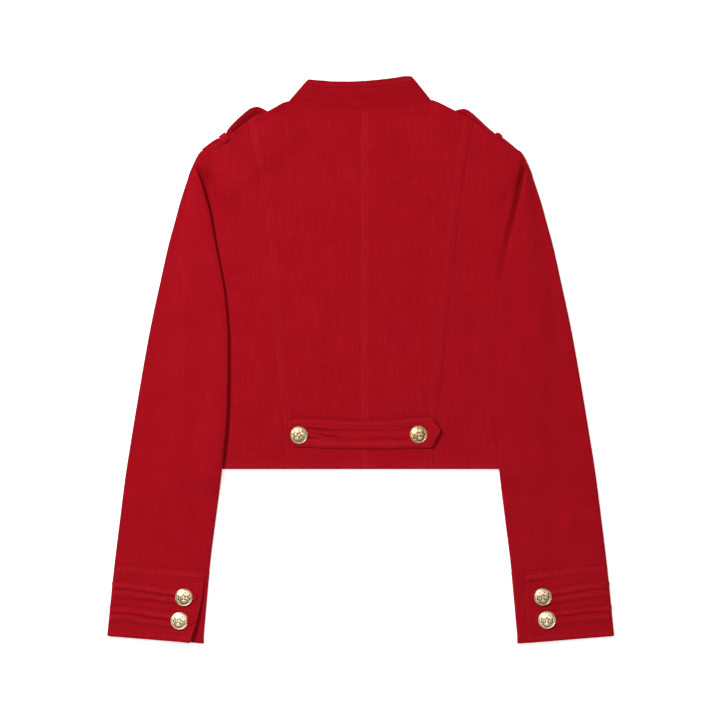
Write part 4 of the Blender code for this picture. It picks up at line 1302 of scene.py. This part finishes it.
def collar_front_point(side, share, height):
    """A point of the collar's front half: share from the side's fold to the centre front."""
    fold_x, fold_top_x = COLLAR_ENDS[side]
    x = lerp(fold_x - 2.0, COLLAR_MEET_X, share)
    y = front_top_y(signed(side, x))
    slope = front_top_y(signed(side, x + 0.5)) - front_top_y(signed(side, x - 0.5))
    size = np.hypot(slope, 1.0)
    normal = np.stack([-slope / size, 1.0 / size], axis=-1)
    side_top = float(collar_top_y(signed(side, fold_top_x)))
    along = np.array([fold_top_x - fold_x, side_top - NECK_SIDE_Y[side]])
    along = along / np.linalg.norm(along)
    direction = lerp(along, normal, ease(0.0, 0.3, share)[..., None])
    direction = direction / np.linalg.norm(direction, axis=-1, keepdims=True)
    reach = (COLLAR_FRONT_GAP + COLLAR_HEIGHT * height)[..., None]
    spot = np.stack([x, y], axis=-1) + direction * reach
    return signed(side, np.maximum(spot[..., 0], COLLAR_MEET_X)), spot[..., 1]


def collar_swell(height):
    """The collar's back half leans up from its seam, where it dips."""
    return COLLAR_RISE * (height - 0.35) - 0.3 * dip(height * COLLAR_HEIGHT, 3.0)


def build_collar(look):
    radius = (COLLAR_HIGH - COLLAR_LOW) / 2
    middle = (COLLAR_HIGH + COLLAR_LOW) / 2
    height = spread(0.0, 1.0, 1.2 / COLLAR_HEIGHT)[:, None]
    fronts, folds = {}, {}
    for side, share in (("left", 0.0), ("right", 1.0)):
        steps = np.linspace(0.0, 1.0, 36)[None, :] + 0 * height
        x, y = collar_front_point(side, steps, height + 0 * steps)
        fronts[side] = grid_of(x, y, COLLAR_LOW)
        x, y = collar_back_point(share, height)
        turns = np.radians(np.linspace(-70.0, 70.0, 9))[None, :]
        bulge = radius * (1 - np.cos(turns))
        swell = collar_swell(height) * (1 + np.sin(turns)) / 2
        folds[side] = grid_of(x - signed(side, bulge), y, middle + radius * np.sin(turns) + swell)
    shares = np.linspace(0.0, 1.0, 110)[None, :]
    inset = lerp(radius, -radius, shares) / (COLLAR_ENDS["left"][0] * 2)
    x, y = collar_back_point(shares + inset, height)
    from_top = (1 - height) * COLLAR_HEIGHT
    z = COLLAR_HIGH + collar_swell(height) + 0 * x + turnings(from_top, 10.2, 0.35)
    z = z + furrows(from_top, COLLAR_ROWS, x, 0.0, 2.0)
    z = z + ease(0.0, 0.06, shares) * ease(1.0, 0.94, shares) * 0.9 * ripple(x, y)
    back = grid_of(x, y, z)
    grid = np.concatenate([fronts["left"][:, ::-1], folds["left"], back, folds["right"][:, ::-1],
                           fronts["right"]], axis=1)
    # Painted highlight over the puckers beside its lower row of stitches.
    puckers = 0.6 + 0.5 * wobble(grid[..., 0] / 1.1, 2.0)
    rubs = lines(from_top, COLLAR_PAINTED_LIGHT) + 0.7 * puckers * dip(from_top - 9.6, 1.1)
    return shell("collar", grid, DOUBLE, look, rounding=0.7, rubbed=rubs)


# --------------------------------------------------------------- epaulettes

STRAP_TIP = 10.8
STRAP_EDGE = table(
    "along  left  right",
    (-10.8, 23.0, 23.0),
    (-8.6, 17.0, 16.2),
    (-6.75, 12.0, 11.8),
    (-4.6, 7.0, 8.2),
    (-2.1, 2.5, 5.0),
    (1.0, -0.9, 2.0),
    (5.5, -2.9, 0.2),
    (11.0, -3.7, -0.1),
    (24.0, -3.1, 0.8),
    (37.0, -1.7, 2.2),
    (44.6, 0.0, 2.5),
    (49.5, 2.0, 2.6),
    (58.0, 1.4, 1.6),
    (62.0, 0.1, 0.4),
    (68.3, -0.7, 0.7),
    (80.0, -0.9, 0.9),
    (86.0, -0.6, 1.4),
)
STRAP_SLANT = 9.0          # its armhole end is longer on the inner edge
# How far the strap's outer edge stands up past the shoulder: in its open arch, and elsewhere.
STRAP_LEAN = {"left": (6.6, 1.0), "right": (4.6, 3.6)}
KEEPER_LIFT = 1.45         # the epaulette rides over the keeper
STRAP_BENT = 9.5           # width along its outer edge that stands up


def strap_spot(side, along, inward):
    x = STRAP_CORNER.x + STRAP_DIRECTION.x * along + STRAP_INWARD.x * inward
    y = STRAP_CORNER.y + STRAP_DIRECTION.y * along + STRAP_INWARD.y * inward
    return signed(side, x), y


def build_epaulette(side, look):
    edge = curve(STRAP_EDGE, side, key="along")
    stop = np.concatenate([spread(-STRAP_TIP, 0.0, 1.0), spread(0.0, STRAP_LENGTH, 1.6)[1:]])[:, None]
    pointed = np.maximum(0.0, -stop / STRAP_TIP)
    first = edge(stop)
    last = np.maximum(lerp(STRAP_WIDTH, STRAP_WIDTH / 2, pointed), first + 0.6)
    share = np.linspace(0.0, 1.0, 31)[None, :]
    inward = lerp(first, last, share)
    slant = STRAP_SLANT * np.maximum(0.0, stop / STRAP_LENGTH) * inward / STRAP_WIDTH
    along = np.minimum(stop, STRAP_LENGTH - 3.0) + slant
    x, y = strap_spot(side, along, inward)
    z = DOUBLE / 2 + KEEPER_LIFT * ease(26.0, 8.0, abs(stop - KEEPER_AT)) + 0 * inward
    from_edge = np.minimum(inward - first, last - inward)
    z = z + 0.1 * ease(9.0, 6.0, from_edge) - 0.15 * dip(from_edge - 6.4, 0.8)
    # Its outer edge stands up past the shoulder and leans down towards it.
    arch, rest = STRAP_LEAN[side]
    lean = lerp(rest, arch, ease(-8.0, 6.0, stop) * ease(50.0, 38.0, stop))
    z = z + lean * np.cos(np.pi / 2 * np.clip((inward - first) / STRAP_BENT, 0.0, 1.0)) ** 1.2
    return shell("epaulette_" + side, grid_of(x, y, z), DOUBLE, look, rounding=0.7)


KEEPER_PATH = table(
    "inward height",
    (-0.9, 3.6),
    (-0.6, 2.0),
    (0.4, 1.1),
    (2.0, 0.5),
    (12.0, 0.5),
    (30.0, 0.5),
    (46.8, 0.5),
    (48.4, 1.1),
    (48.9, 2.4),
)
# Its upper end: over the shoulder's edge on the left, and down beside that edge on the right.
KEEPER_END = {
    "left": table("inward height", (9.8, 10.5), (8.4, 11.1), (6.4, 10.9), (4.0, 9.6), (1.8, 7.8),
                  (0.0, 5.6)),
    "right": table("inward height", (6.6, 8.9), (4.8, 9.2), (2.6, 8.4), (0.9, 6.8), (0.0, 5.0)),
}
KEEPER_OUT = {"left": 0.9, "right": -0.2}      # how far its upper end stands out
KEEPER_CORNERS = {"left": 0.0, "right": 1.9}   # how far its corners are drawn in there


def smooth_path(points, step):
    """Points at most step apart on a smooth line through the given ones."""
    made = []
    count = len(points)
    for k in range(count - 1):
        before, start, end, after = (points[max(0, min(count - 1, k + i))] for i in (-1, 0, 1, 2))
        for t in spread(0.0, 1.0, step / max(step, np.linalg.norm(end - start)))[:-1]:
            made.append(0.5 * (2 * start + (end - before) * t
                               + (2 * before - 5 * start + 4 * end - after) * t ** 2
                               + (3 * start - before - 3 * end + after) * t ** 3))
    return np.array(made + [points[-1]])


def build_keeper(side, look):
    path = [(row["inward"], row["height"]) for row in KEEPER_END[side] + KEEPER_PATH]
    path = smooth_path(np.array(path), 0.9)
    inward, height = path[:, 0][None, :], path[:, 1][None, :]
    outermost = KEEPER_OUT[side] * ease(30.0, 6.0, inward)
    along = np.linspace(-KEEPER_WIDTH / 2, KEEPER_WIDTH / 2, 10)[:, None]
    corner = (2 * abs(along) / KEEPER_WIDTH) ** 3
    rounded = KEEPER_CORNERS[side] * corner * ease(12.0, 3.0, inward)
    x, y = strap_spot(side, KEEPER_AT + along, inward + outermost + rounded)
    edge = 0.1 * dip(abs(along) - 2.8, 0.5) + 0.9 * corner * ease(3.0, 6.0, height)
    return shell("keeper_" + side, grid_of(x, y, height - edge), KEEPER_THICK, look, rounding=0.3)


# ----------------------------------------------------------------- stitches

STITCH = 2.6
STITCH_PITCH = 3.3
THREAD = 0.22              # radius
THREAD_SIDES = 5
THREAD_SUNK = 0.15         # how deep a stitch's ends are in the cloth
THREAD_RAISED = 0.1        # how far its middle stands over them


def stitch_ends(tree, line):
    """Start and end of every stitch along a line of (x, y) points on the piece's upper side."""
    line = np.asarray(line, float)
    along = np.concatenate([[0.0], np.cumsum(np.linalg.norm(np.diff(line, axis=0), axis=1))])
    for start in np.arange(0.5, along[-1] - STITCH, STITCH_PITCH):
        pair = [from_above(tree, np.interp(at, along, line[:, 0]), np.interp(at, along, line[:, 1]))
                for at in (start, start + STITCH)]
        if pair[0] is not None and pair[1] is not None:
            yield pair


def build_stitches(owner, rows, look):
    """Every stitch of one piece as a short thread, sunk at both ends into the cloth."""
    tree = tree_of(owner)
    points, faces = [], []
    sides = THREAD_SIDES
    for start, end in (ends for row in rows for ends in stitch_ends(tree, row)):
        direction = (end - start) / np.linalg.norm(end - start)
        across = np.array([-direction[1], direction[0], 0.0])
        across = across / np.linalg.norm(across)
        up = np.cross(direction, across)
        first = len(points)
        points.append(start - THREAD_SUNK * up)
        for share in (0.2, 0.8):
            middle = lerp(start, end, share) + THREAD_RAISED * up
            for k in range(sides):
                turn = 2 * math.pi * k / sides
                points.append(middle + THREAD * (math.cos(turn) * across + math.sin(turn) * up))
        points.append(end - THREAD_SUNK * up)
        for k in range(sides):
            a, b = first + 1 + k, first + 1 + (k + 1) % sides
            faces.append((first, b, a))
            faces.append((a, b, b + sides, a + sides))
            faces.append((a + sides, b + sides, first + 2 * sides + 1))
    name = owner.name.replace("cloth_", "stitches_")
    return put_in_scene(name, mesh_of(name, points, faces, look))


def line_of(x, y):
    return np.stack([x, y], axis=1)


def upright_row(x_of, side):
    """A row of stitches up the back, from the hem to just under its top edge."""
    ys = np.arange(HEM_Y + 0.8, 300.0, 2.0)
    x = signed(side, x_of(ys))
    keep = ys < back_top_y(x) - 2.5
    return line_of(x[keep], ys[keep])


VENT_ROW = 2.0             # stitches beside the cuff's free edge


def cuff_rows(side):
    rows = []
    length = CUFF_TOP_Y - CUFF_BOTTOM_Y
    for down in CUFF_TOP_ROWS + (length - CUFF_HEM_ROW,):
        y = CUFF_TOP_Y - down
        outer = float(sleeve_line["outer"](y))
        x = np.linspace(outer - 1.5, cuff_edge_x(side, down / length) + 1.5, 20)
        rows.append(line_of(signed(side, x), slanted(outer, x, y)))
    share = np.linspace(0.03, 0.97, 10)
    x = cuff_edge_x(side, share) + VENT_ROW
    y = CUFF_TOP_Y - share * length
    return rows + [line_of(signed(side, x), slanted(sleeve_line["outer"](y), x, y))]


def tab_rows(side, tab):
    """Both rows of a tab, from its outer fold to its point."""
    tip_x = tab["x_" + side] - tab["tip"]
    x = np.linspace(tab_start(tab) + 2.0, tip_x + TAB_POINT, 16)
    middle = tab_middle(tab, side, x)
    tip = [(signed(side, tip_x + 1.8), float(middle[-1]))]
    return [np.concatenate([line_of(signed(side, x), middle + hand * 0.84 * TAB_WIDTH / 2), tip])
            for hand in (-1, 1)]


def stitch_rows():
    """The rows of stitches on each piece, as lines of (x, y) points."""
    made = {}
    hem_y = HEM_Y + HEM_ROW
    for side in SIDES:
        rows = [upright_row(princess(side, -row), side) for row in PRINCESS_ROWS]
        if side == "right":
            rows += [upright_row(upright(row), side) for row in CENTRE_ROWS]
        inner = float(princess_x[side](hem_y))
        rows.append([(signed(side, 0.4), hem_y), (signed(side, inner - 0.5), hem_y)])
        made["back_centre_" + side] = rows
        made["back_side_" + side] = [[(signed(side, x), hem_y) for x in (inner + 0.5, 200.0)]]
        made["cuff_" + side] = cuff_rows(side)
        for tab in TABS:
            made[tab_name(tab, side)] = tab_rows(side, tab)
    x = np.linspace(-85.0, 88.0, 60)
    made["half_belt"] = []
    for row in BELT_ROWS:
        made["half_belt"] += [line_of(x, belt_line["top"](x) - row),
                              line_of(x, belt_line["bottom"](x) + row)]
    share = np.linspace(0.02, 0.98, 60)
    heights = [1 - row / COLLAR_HEIGHT for row in COLLAR_ROWS] + [0.05]
    made["collar"] = [line_of(*collar_back_point(share, height)) for height in heights]
    return made


# ---------------------------------------------------------------- materials


class Nodes:
    """A material's nodes, added and joined by short calls."""

    def __init__(self, name):
        self.material = bpy.data.materials.new(name)
        self.material.use_nodes = True
        self.tree = self.material.node_tree
        self.tree.nodes.clear()

    def add(self, kind, inputs=(), **settings):
        node = self.tree.nodes.new(kind)
        for key, value in settings.items():
            setattr(node, key, value)
        for key, value in dict(inputs).items():
            if isinstance(value, bpy.types.NodeSocket):
                self.tree.links.new(value, node.inputs[key])
            else:
                node.inputs[key].default_value = value
        return node

    def read(self, attribute):
        return self.add("ShaderNodeAttribute", attribute_name=attribute).outputs["Fac"]

    def coordinates(self):
        return self.add("ShaderNodeTexCoord").outputs["Object"]

    def total(self, first, *parts):
        """first and each part times its weight, added up."""
        for part, weight in parts:
            first = self.add("ShaderNodeMath", {0: part, 1: weight, 2: first},
                             operation="MULTIPLY_ADD").outputs[0]
        return first

    def bump(self, height, strength, distance):
        return self.add("ShaderNodeBump", {"Height": height, "Strength": strength,
                                           "Distance": distance}).outputs[0]

    def remap(self, value, low, high, start=0.0, end=1.0):
        """value's way from start to end as one from low to high."""
        return self.add("ShaderNodeMapRange", {"Value": value, "From Min": start, "From Max": end,
                                               "To Min": low, "To Max": high}).outputs[0]

    def finish(self, inputs):
        """Closes the material with a Principled BSDF of these inputs."""
        shader = self.add("ShaderNodeBsdfPrincipled", inputs)
        self.add("ShaderNodeOutputMaterial", {"Surface": shader.outputs[0]})
        return self.material

    def math(self, operation, a, b=0.0):
        return self.add("ShaderNodeMath", {0: a, 1: b}, operation=operation).outputs[0]

    def mix(self, share, a, b):
        node = self.add("ShaderNodeMix", {0: share, 6: a, 7: b}, data_type="RGBA")
        return node.outputs[2]

    def noise(self, place, scale, detail=2.0, roughness=0.5):
        """Noise whose features are about 1 / scale metres in each direction."""
        spot = self.add("ShaderNodeMapping", {"Vector": place, "Scale": scale})
        noise = self.add("ShaderNodeTexNoise", {"Vector": spot.outputs[0], "Scale": 1.0,
                                                "Detail": detail, "Roughness": roughness})
        return noise.outputs[0]


# The cloth's colours, from the darkest, for painted shade, to the lightest, for painted highlight and
# wear, and their places on its ramp.
REDS = table(
    "place colour",
    (0.12, (0.170, 0.0014, 0.0036, 1.0)),
    (0.32, (0.242, 0.0024, 0.0060, 1.0)),
    (0.48, (0.280, 0.0034, 0.0083, 1.0)),
    (0.65, (0.328, 0.0060, 0.0126, 1.0)),
)
YARN_SHARES = {"warp": 0.34, "weft": 0.20, "speck": 0.27}
TWILL = 0.0011             # metres from one diagonal rib to the next
WHITE = (1.0, 1.0, 1.0, 1.0)


def drill(name, grain, shift, fade=0.0, uneven=1.0):
    """Cotton drill: a fine twill with thick and thin yarns both ways and a soft dry surface.

    grain is the angle of the cloth's length to Y, in degrees. fade makes all of it lighter, and
    uneven says how much its yarns differ in colour.
    """
    warp_share, weft_share, speck_share = (uneven * share for share in YARN_SHARES.values())
    fade = fade + 0.5 * (1 - uneven) * sum(YARN_SHARES.values())
    made = Nodes(name)
    cloth = made.add("ShaderNodeMapping", {
        "Vector": made.coordinates(), "Location": (shift, shift * 0.7, 0.0),
        "Rotation": (0.0, 0.0, math.radians(grain))}).outputs[0]
    warp = made.noise(cloth, (820.0, 34.0, 200.0), 2.0)
    weft = made.noise(cloth, (42.0, 640.0, 200.0), 2.0)
    cloud = made.noise(cloth, (38.0, 30.0, 30.0), 3.0)
    speck = made.noise(cloth, (900.0, 900.0, 900.0), 1.0)
    # The tone follows the yarns, and the mesh's painted shade, painted highlight and wear move it
    # along the ramp.
    tone = made.total(fade, (warp, warp_share), (weft, weft_share), (cloud, 0.15),
                      (speck, speck_share), (made.read("rubbed"), 0.10))
    ramp = made.add("ShaderNodeValToRGB", {"Fac": tone})
    stops = ramp.color_ramp.elements
    stops[0].position = REDS[0]["place"]
    stops[1].position = REDS[-1]["place"]
    for row in REDS[1:-1]:
        stops.new(row["place"])
    for stop, row in zip(stops, REDS):
        stop.color = row["colour"]
    split = made.add("ShaderNodeSeparateXYZ", {0: cloth})
    diagonal = made.math("ADD", split.outputs[0], split.outputs[1])
    twill = made.math("SINE", made.math("MULTIPLY", diagonal, 2 * math.pi / TWILL))
    height = made.total(0.0, (warp, 0.5), (weft, 0.5), (twill, 0.12))
    return made.finish({
        "Base Color": ramp.outputs[0], "Roughness": made.remap(tone, 0.92, 0.8, 0.3, 0.7),
        "Normal": made.bump(height, 0.55, 0.0005),
        "Specular IOR Level": 0.08, "Specular Tint": (1.0, 0.25, 0.28, 1.0),
        "Sheen Weight": 0.05, "Sheen Roughness": 0.5, "Sheen Tint": (0.9, 0.12, 0.14, 1.0)})


def thread():
    """Cotton sewing thread, a little lighter than the cloth, with a twist."""
    made = Nodes("sewing_thread")
    twist = made.noise(made.coordinates(), (1500.0, 1500.0, 1500.0), 1.0)
    return made.finish({
        "Base Color": made.mix(twist, (0.30, 0.006, 0.012, 1.0), (0.39, 0.012, 0.020, 1.0)),
        "Normal": made.bump(twist, 0.4, 0.0002), "Roughness": 0.6,
        "Specular IOR Level": 0.12, "Sheen Weight": 0.1, "Sheen Tint": (0.9, 0.2, 0.2, 1.0)})


def gold():
    """Pale gold plate, bright on the raised parts, dark between them and dull in blots."""
    made = Nodes("pale_gold")
    metal = made.coordinates()
    speck = made.noise(metal, (700.0, 700.0, 700.0), 3.0)
    blot = made.noise(metal, (260.0, 260.0, 260.0), 2.0)
    dull = made.math("ADD", made.remap(blot, 0.0, 0.75, 0.42, 0.66), made.read("tarnish"))
    plate = made.mix(dull, (0.84, 0.69, 0.47, 1.0), (0.46, 0.31, 0.15, 1.0))
    return made.finish({
        "Base Color": made.mix(made.read("sunk"), plate, (0.05, 0.03, 0.012, 1.0)),
        "Roughness": made.remap(speck, 0.28, 0.5), "Normal": made.bump(speck, 0.35, 0.0004),
        "Metallic": 1.0})


# ------------------------------------------------------------ light, camera


FLOOR_SIZE = 6.0           # metres from its middle to each edge
FLOOR_DROP = 0.0002        # below the lowest cloth


def pale_floor():
    made = Nodes("pale_floor")
    grain = made.noise(made.coordinates(), (60.0, 60.0, 60.0), 2.0)
    return made.finish({
        "Base Color": made.mix(grain, (0.95, 0.95, 0.95, 1.0), (0.98, 0.98, 0.98, 1.0)),
        "Roughness": 0.9, "Specular IOR Level": 0.1, "Emission Color": WHITE,
        "Emission Strength": 0.45})


def build_stage():
    mesh = bpy.data.meshes.new("floor")
    corners = [(x * FLOOR_SIZE, y * FLOOR_SIZE, -FLOOR_DROP)
               for x, y in ((-1, -1), (1, -1), (1, 1), (-1, 1))]
    mesh.from_pydata(corners, [], [(0, 1, 2, 3)])
    mesh.materials.append(pale_floor())
    put_in_scene("floor", mesh)


WORLD_LIGHT = 0.23
# Square lamps that face the garment: width in metres, power in watts, and place.
LAMPS = table(
    "name       width  power  place",
    ("key", 0.6, 43.0, (-1.02, 0.82, 1.85)),
    ("overhead", 4.4, 99.0, (0.0, 0.0, 4.4)),
)


def build_light():
    scene = bpy.context.scene
    scene.view_settings.view_transform = "Standard"
    world = bpy.data.worlds.new("studio")
    world.use_nodes = True
    background = world.node_tree.nodes["Background"]
    background.inputs["Color"].default_value = WHITE
    background.inputs["Strength"].default_value = WORLD_LIGHT
    scene.world = world
    for row in LAMPS:
        light = bpy.data.lights.new(row["name"], "AREA")
        light.shape = "SQUARE"
        light.size = row["width"]
        light.energy = row["power"]
        lamp = put_in_scene(row["name"], light)
        lamp.location = row["place"]
        lamp.rotation_euler = (-lamp.location).to_track_quat("-Z", "Y").to_euler()


FRAME_WIDTH = 864.0        # what the picture shows across, at the garment's height
FRAME_MIDDLE = (-0.8, -0.4)
GARMENT_HEIGHT = 6.0
CAMERA_LENS = 150.0
SENSOR = 36.0


def build_camera():
    camera = bpy.data.cameras.new("camera")
    camera.lens = CAMERA_LENS
    camera.sensor_width = SENSOR
    camera.sensor_fit = "HORIZONTAL"
    camera.clip_end = 100.0
    thing = put_in_scene("camera", camera)
    height = GARMENT_HEIGHT + FRAME_WIDTH * CAMERA_LENS / SENSOR
    thing.location = Vector(FRAME_MIDDLE + (height,)) * MM
    bpy.context.scene.camera = thing


# --------------------------------------------------------------------- main

SLOTS = (("back", "drill_body"), ("front", "drill_body"), ("sleeve", "drill_sleeve"),
         ("cuff_tab", "drill_trim"), ("cuff", "drill_sleeve"), ("button", "button_metal"))

# The cut of what shows of each piece: width, length and flat area in millimetres.
CUTS = table(
    "piece                  width  length area",
    ("back_centre", 136.0, 443.0, 48500.0),
    ("back_side", 121.0, 419.0, 37000.0),
    ("front", 221.0, 437.0, 84000.0),
    ("sleeve", 246.0, 508.0, 95000.0),
    ("cuff_tab_upper_left", 19.0, 102.0, 1850.0),
    ("cuff_tab_lower_left", 19.0, 102.0, 1850.0),
    ("cuff_tab_upper_right", 19.0, 95.5, 1720.0),
    ("cuff_tab_lower_right", 19.0, 95.5, 1720.0),
    ("cuff", 246.0, 86.0, 20800.0),
    ("collar", 372.0, 31.5, 11400.0),
    ("epaulette", 46.0, 97.0, 4150.0),
    ("keeper_left", 10.0, 66.0, 590.0),
    ("keeper_right", 10.0, 62.0, 555.0),
    ("half_belt", 187.0, 36.5, 5900.0),
)

# What each kind of piece lies on, besides the floor; {} is its side.
RESTS_ON = {
    "back_centre": ("front_{}",), "back_side": ("front_{}",), "sleeve": ("back_side_{}",),
    "cuff_tab": ("cuff_{}",), "epaulette": ("front_{}",), "keeper": ("epaulette_{}",),
    "half_belt": ("back_centre_left", "back_centre_right"),
}


def slot_of(name):
    for start, slot in SLOTS:
        if name.startswith(start):
            return slot
    return "drill_trim"


def cut_of(name):
    return next(row for row in CUTS if name.startswith(row["piece"]))


def rests_on(name):
    for start, nodes in RESTS_ON.items():
        if name.startswith(start):
            return [node.format(name.rsplit("_", 1)[-1]) for node in nodes]
    return []


def dress(thing, slot, node=None):
    """Puts a piece on the jacket's one body, in the place of a node of the model if it has one."""
    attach(thing, "root")
    if node:
        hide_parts(node)


def main():
    looks = {"body": drill("drill_body_cloth", 0.0, 0.0),
             "left": drill("drill_left_sleeve", -9.0, 0.3, uneven=0.7),
             "right": drill("drill_right_sleeve", 9.0, 0.6, uneven=0.7),
             "trim": drill("drill_trim_cloth", 90.0, 0.9),
             # The collar's copy of the drill is darker all over: painted shade.
             "collar": drill("drill_collar_cloth", 90.0, 1.2, fade=-0.09)}
    cloth = build_body(looks["body"])
    for side in SIDES:
        cloth += [build_sleeve(side, looks[side]), build_cuff(side, looks[side])]
        cloth += [build_tab(side, tab, looks["trim"]) for tab in TABS]
        cloth += [build_epaulette(side, looks["trim"]), build_keeper(side, looks["trim"])]
    cloth += [build_belt(looks["trim"]), build_collar(looks["collar"])]
    pieces = {piece.name.replace("cloth_", ""): piece for piece in cloth}
    bpy.context.view_layer.update()
    sewing = thread()
    sewn = {name: build_stitches(pieces[name], rows, sewing)
            for name, rows in stitch_rows().items()}
    metal = gold()
    for name, piece in pieces.items():
        dress(piece, slot_of(name), name)
        if name in sewn:
            dress(sewn[name], slot_of(name))
            sewn[name]
        cut = cut_of(name)
        rests_on(name)
    for name, owner, x, y in button_places():
        level = from_above(tree_of(pieces[owner]), x, y)[2] + BUTTON_CLEAR
        dress(build_button(name, x, y, level, metal), "button_metal", "button_" + name)
    build_stage()
    build_light()
    build_camera()


main()
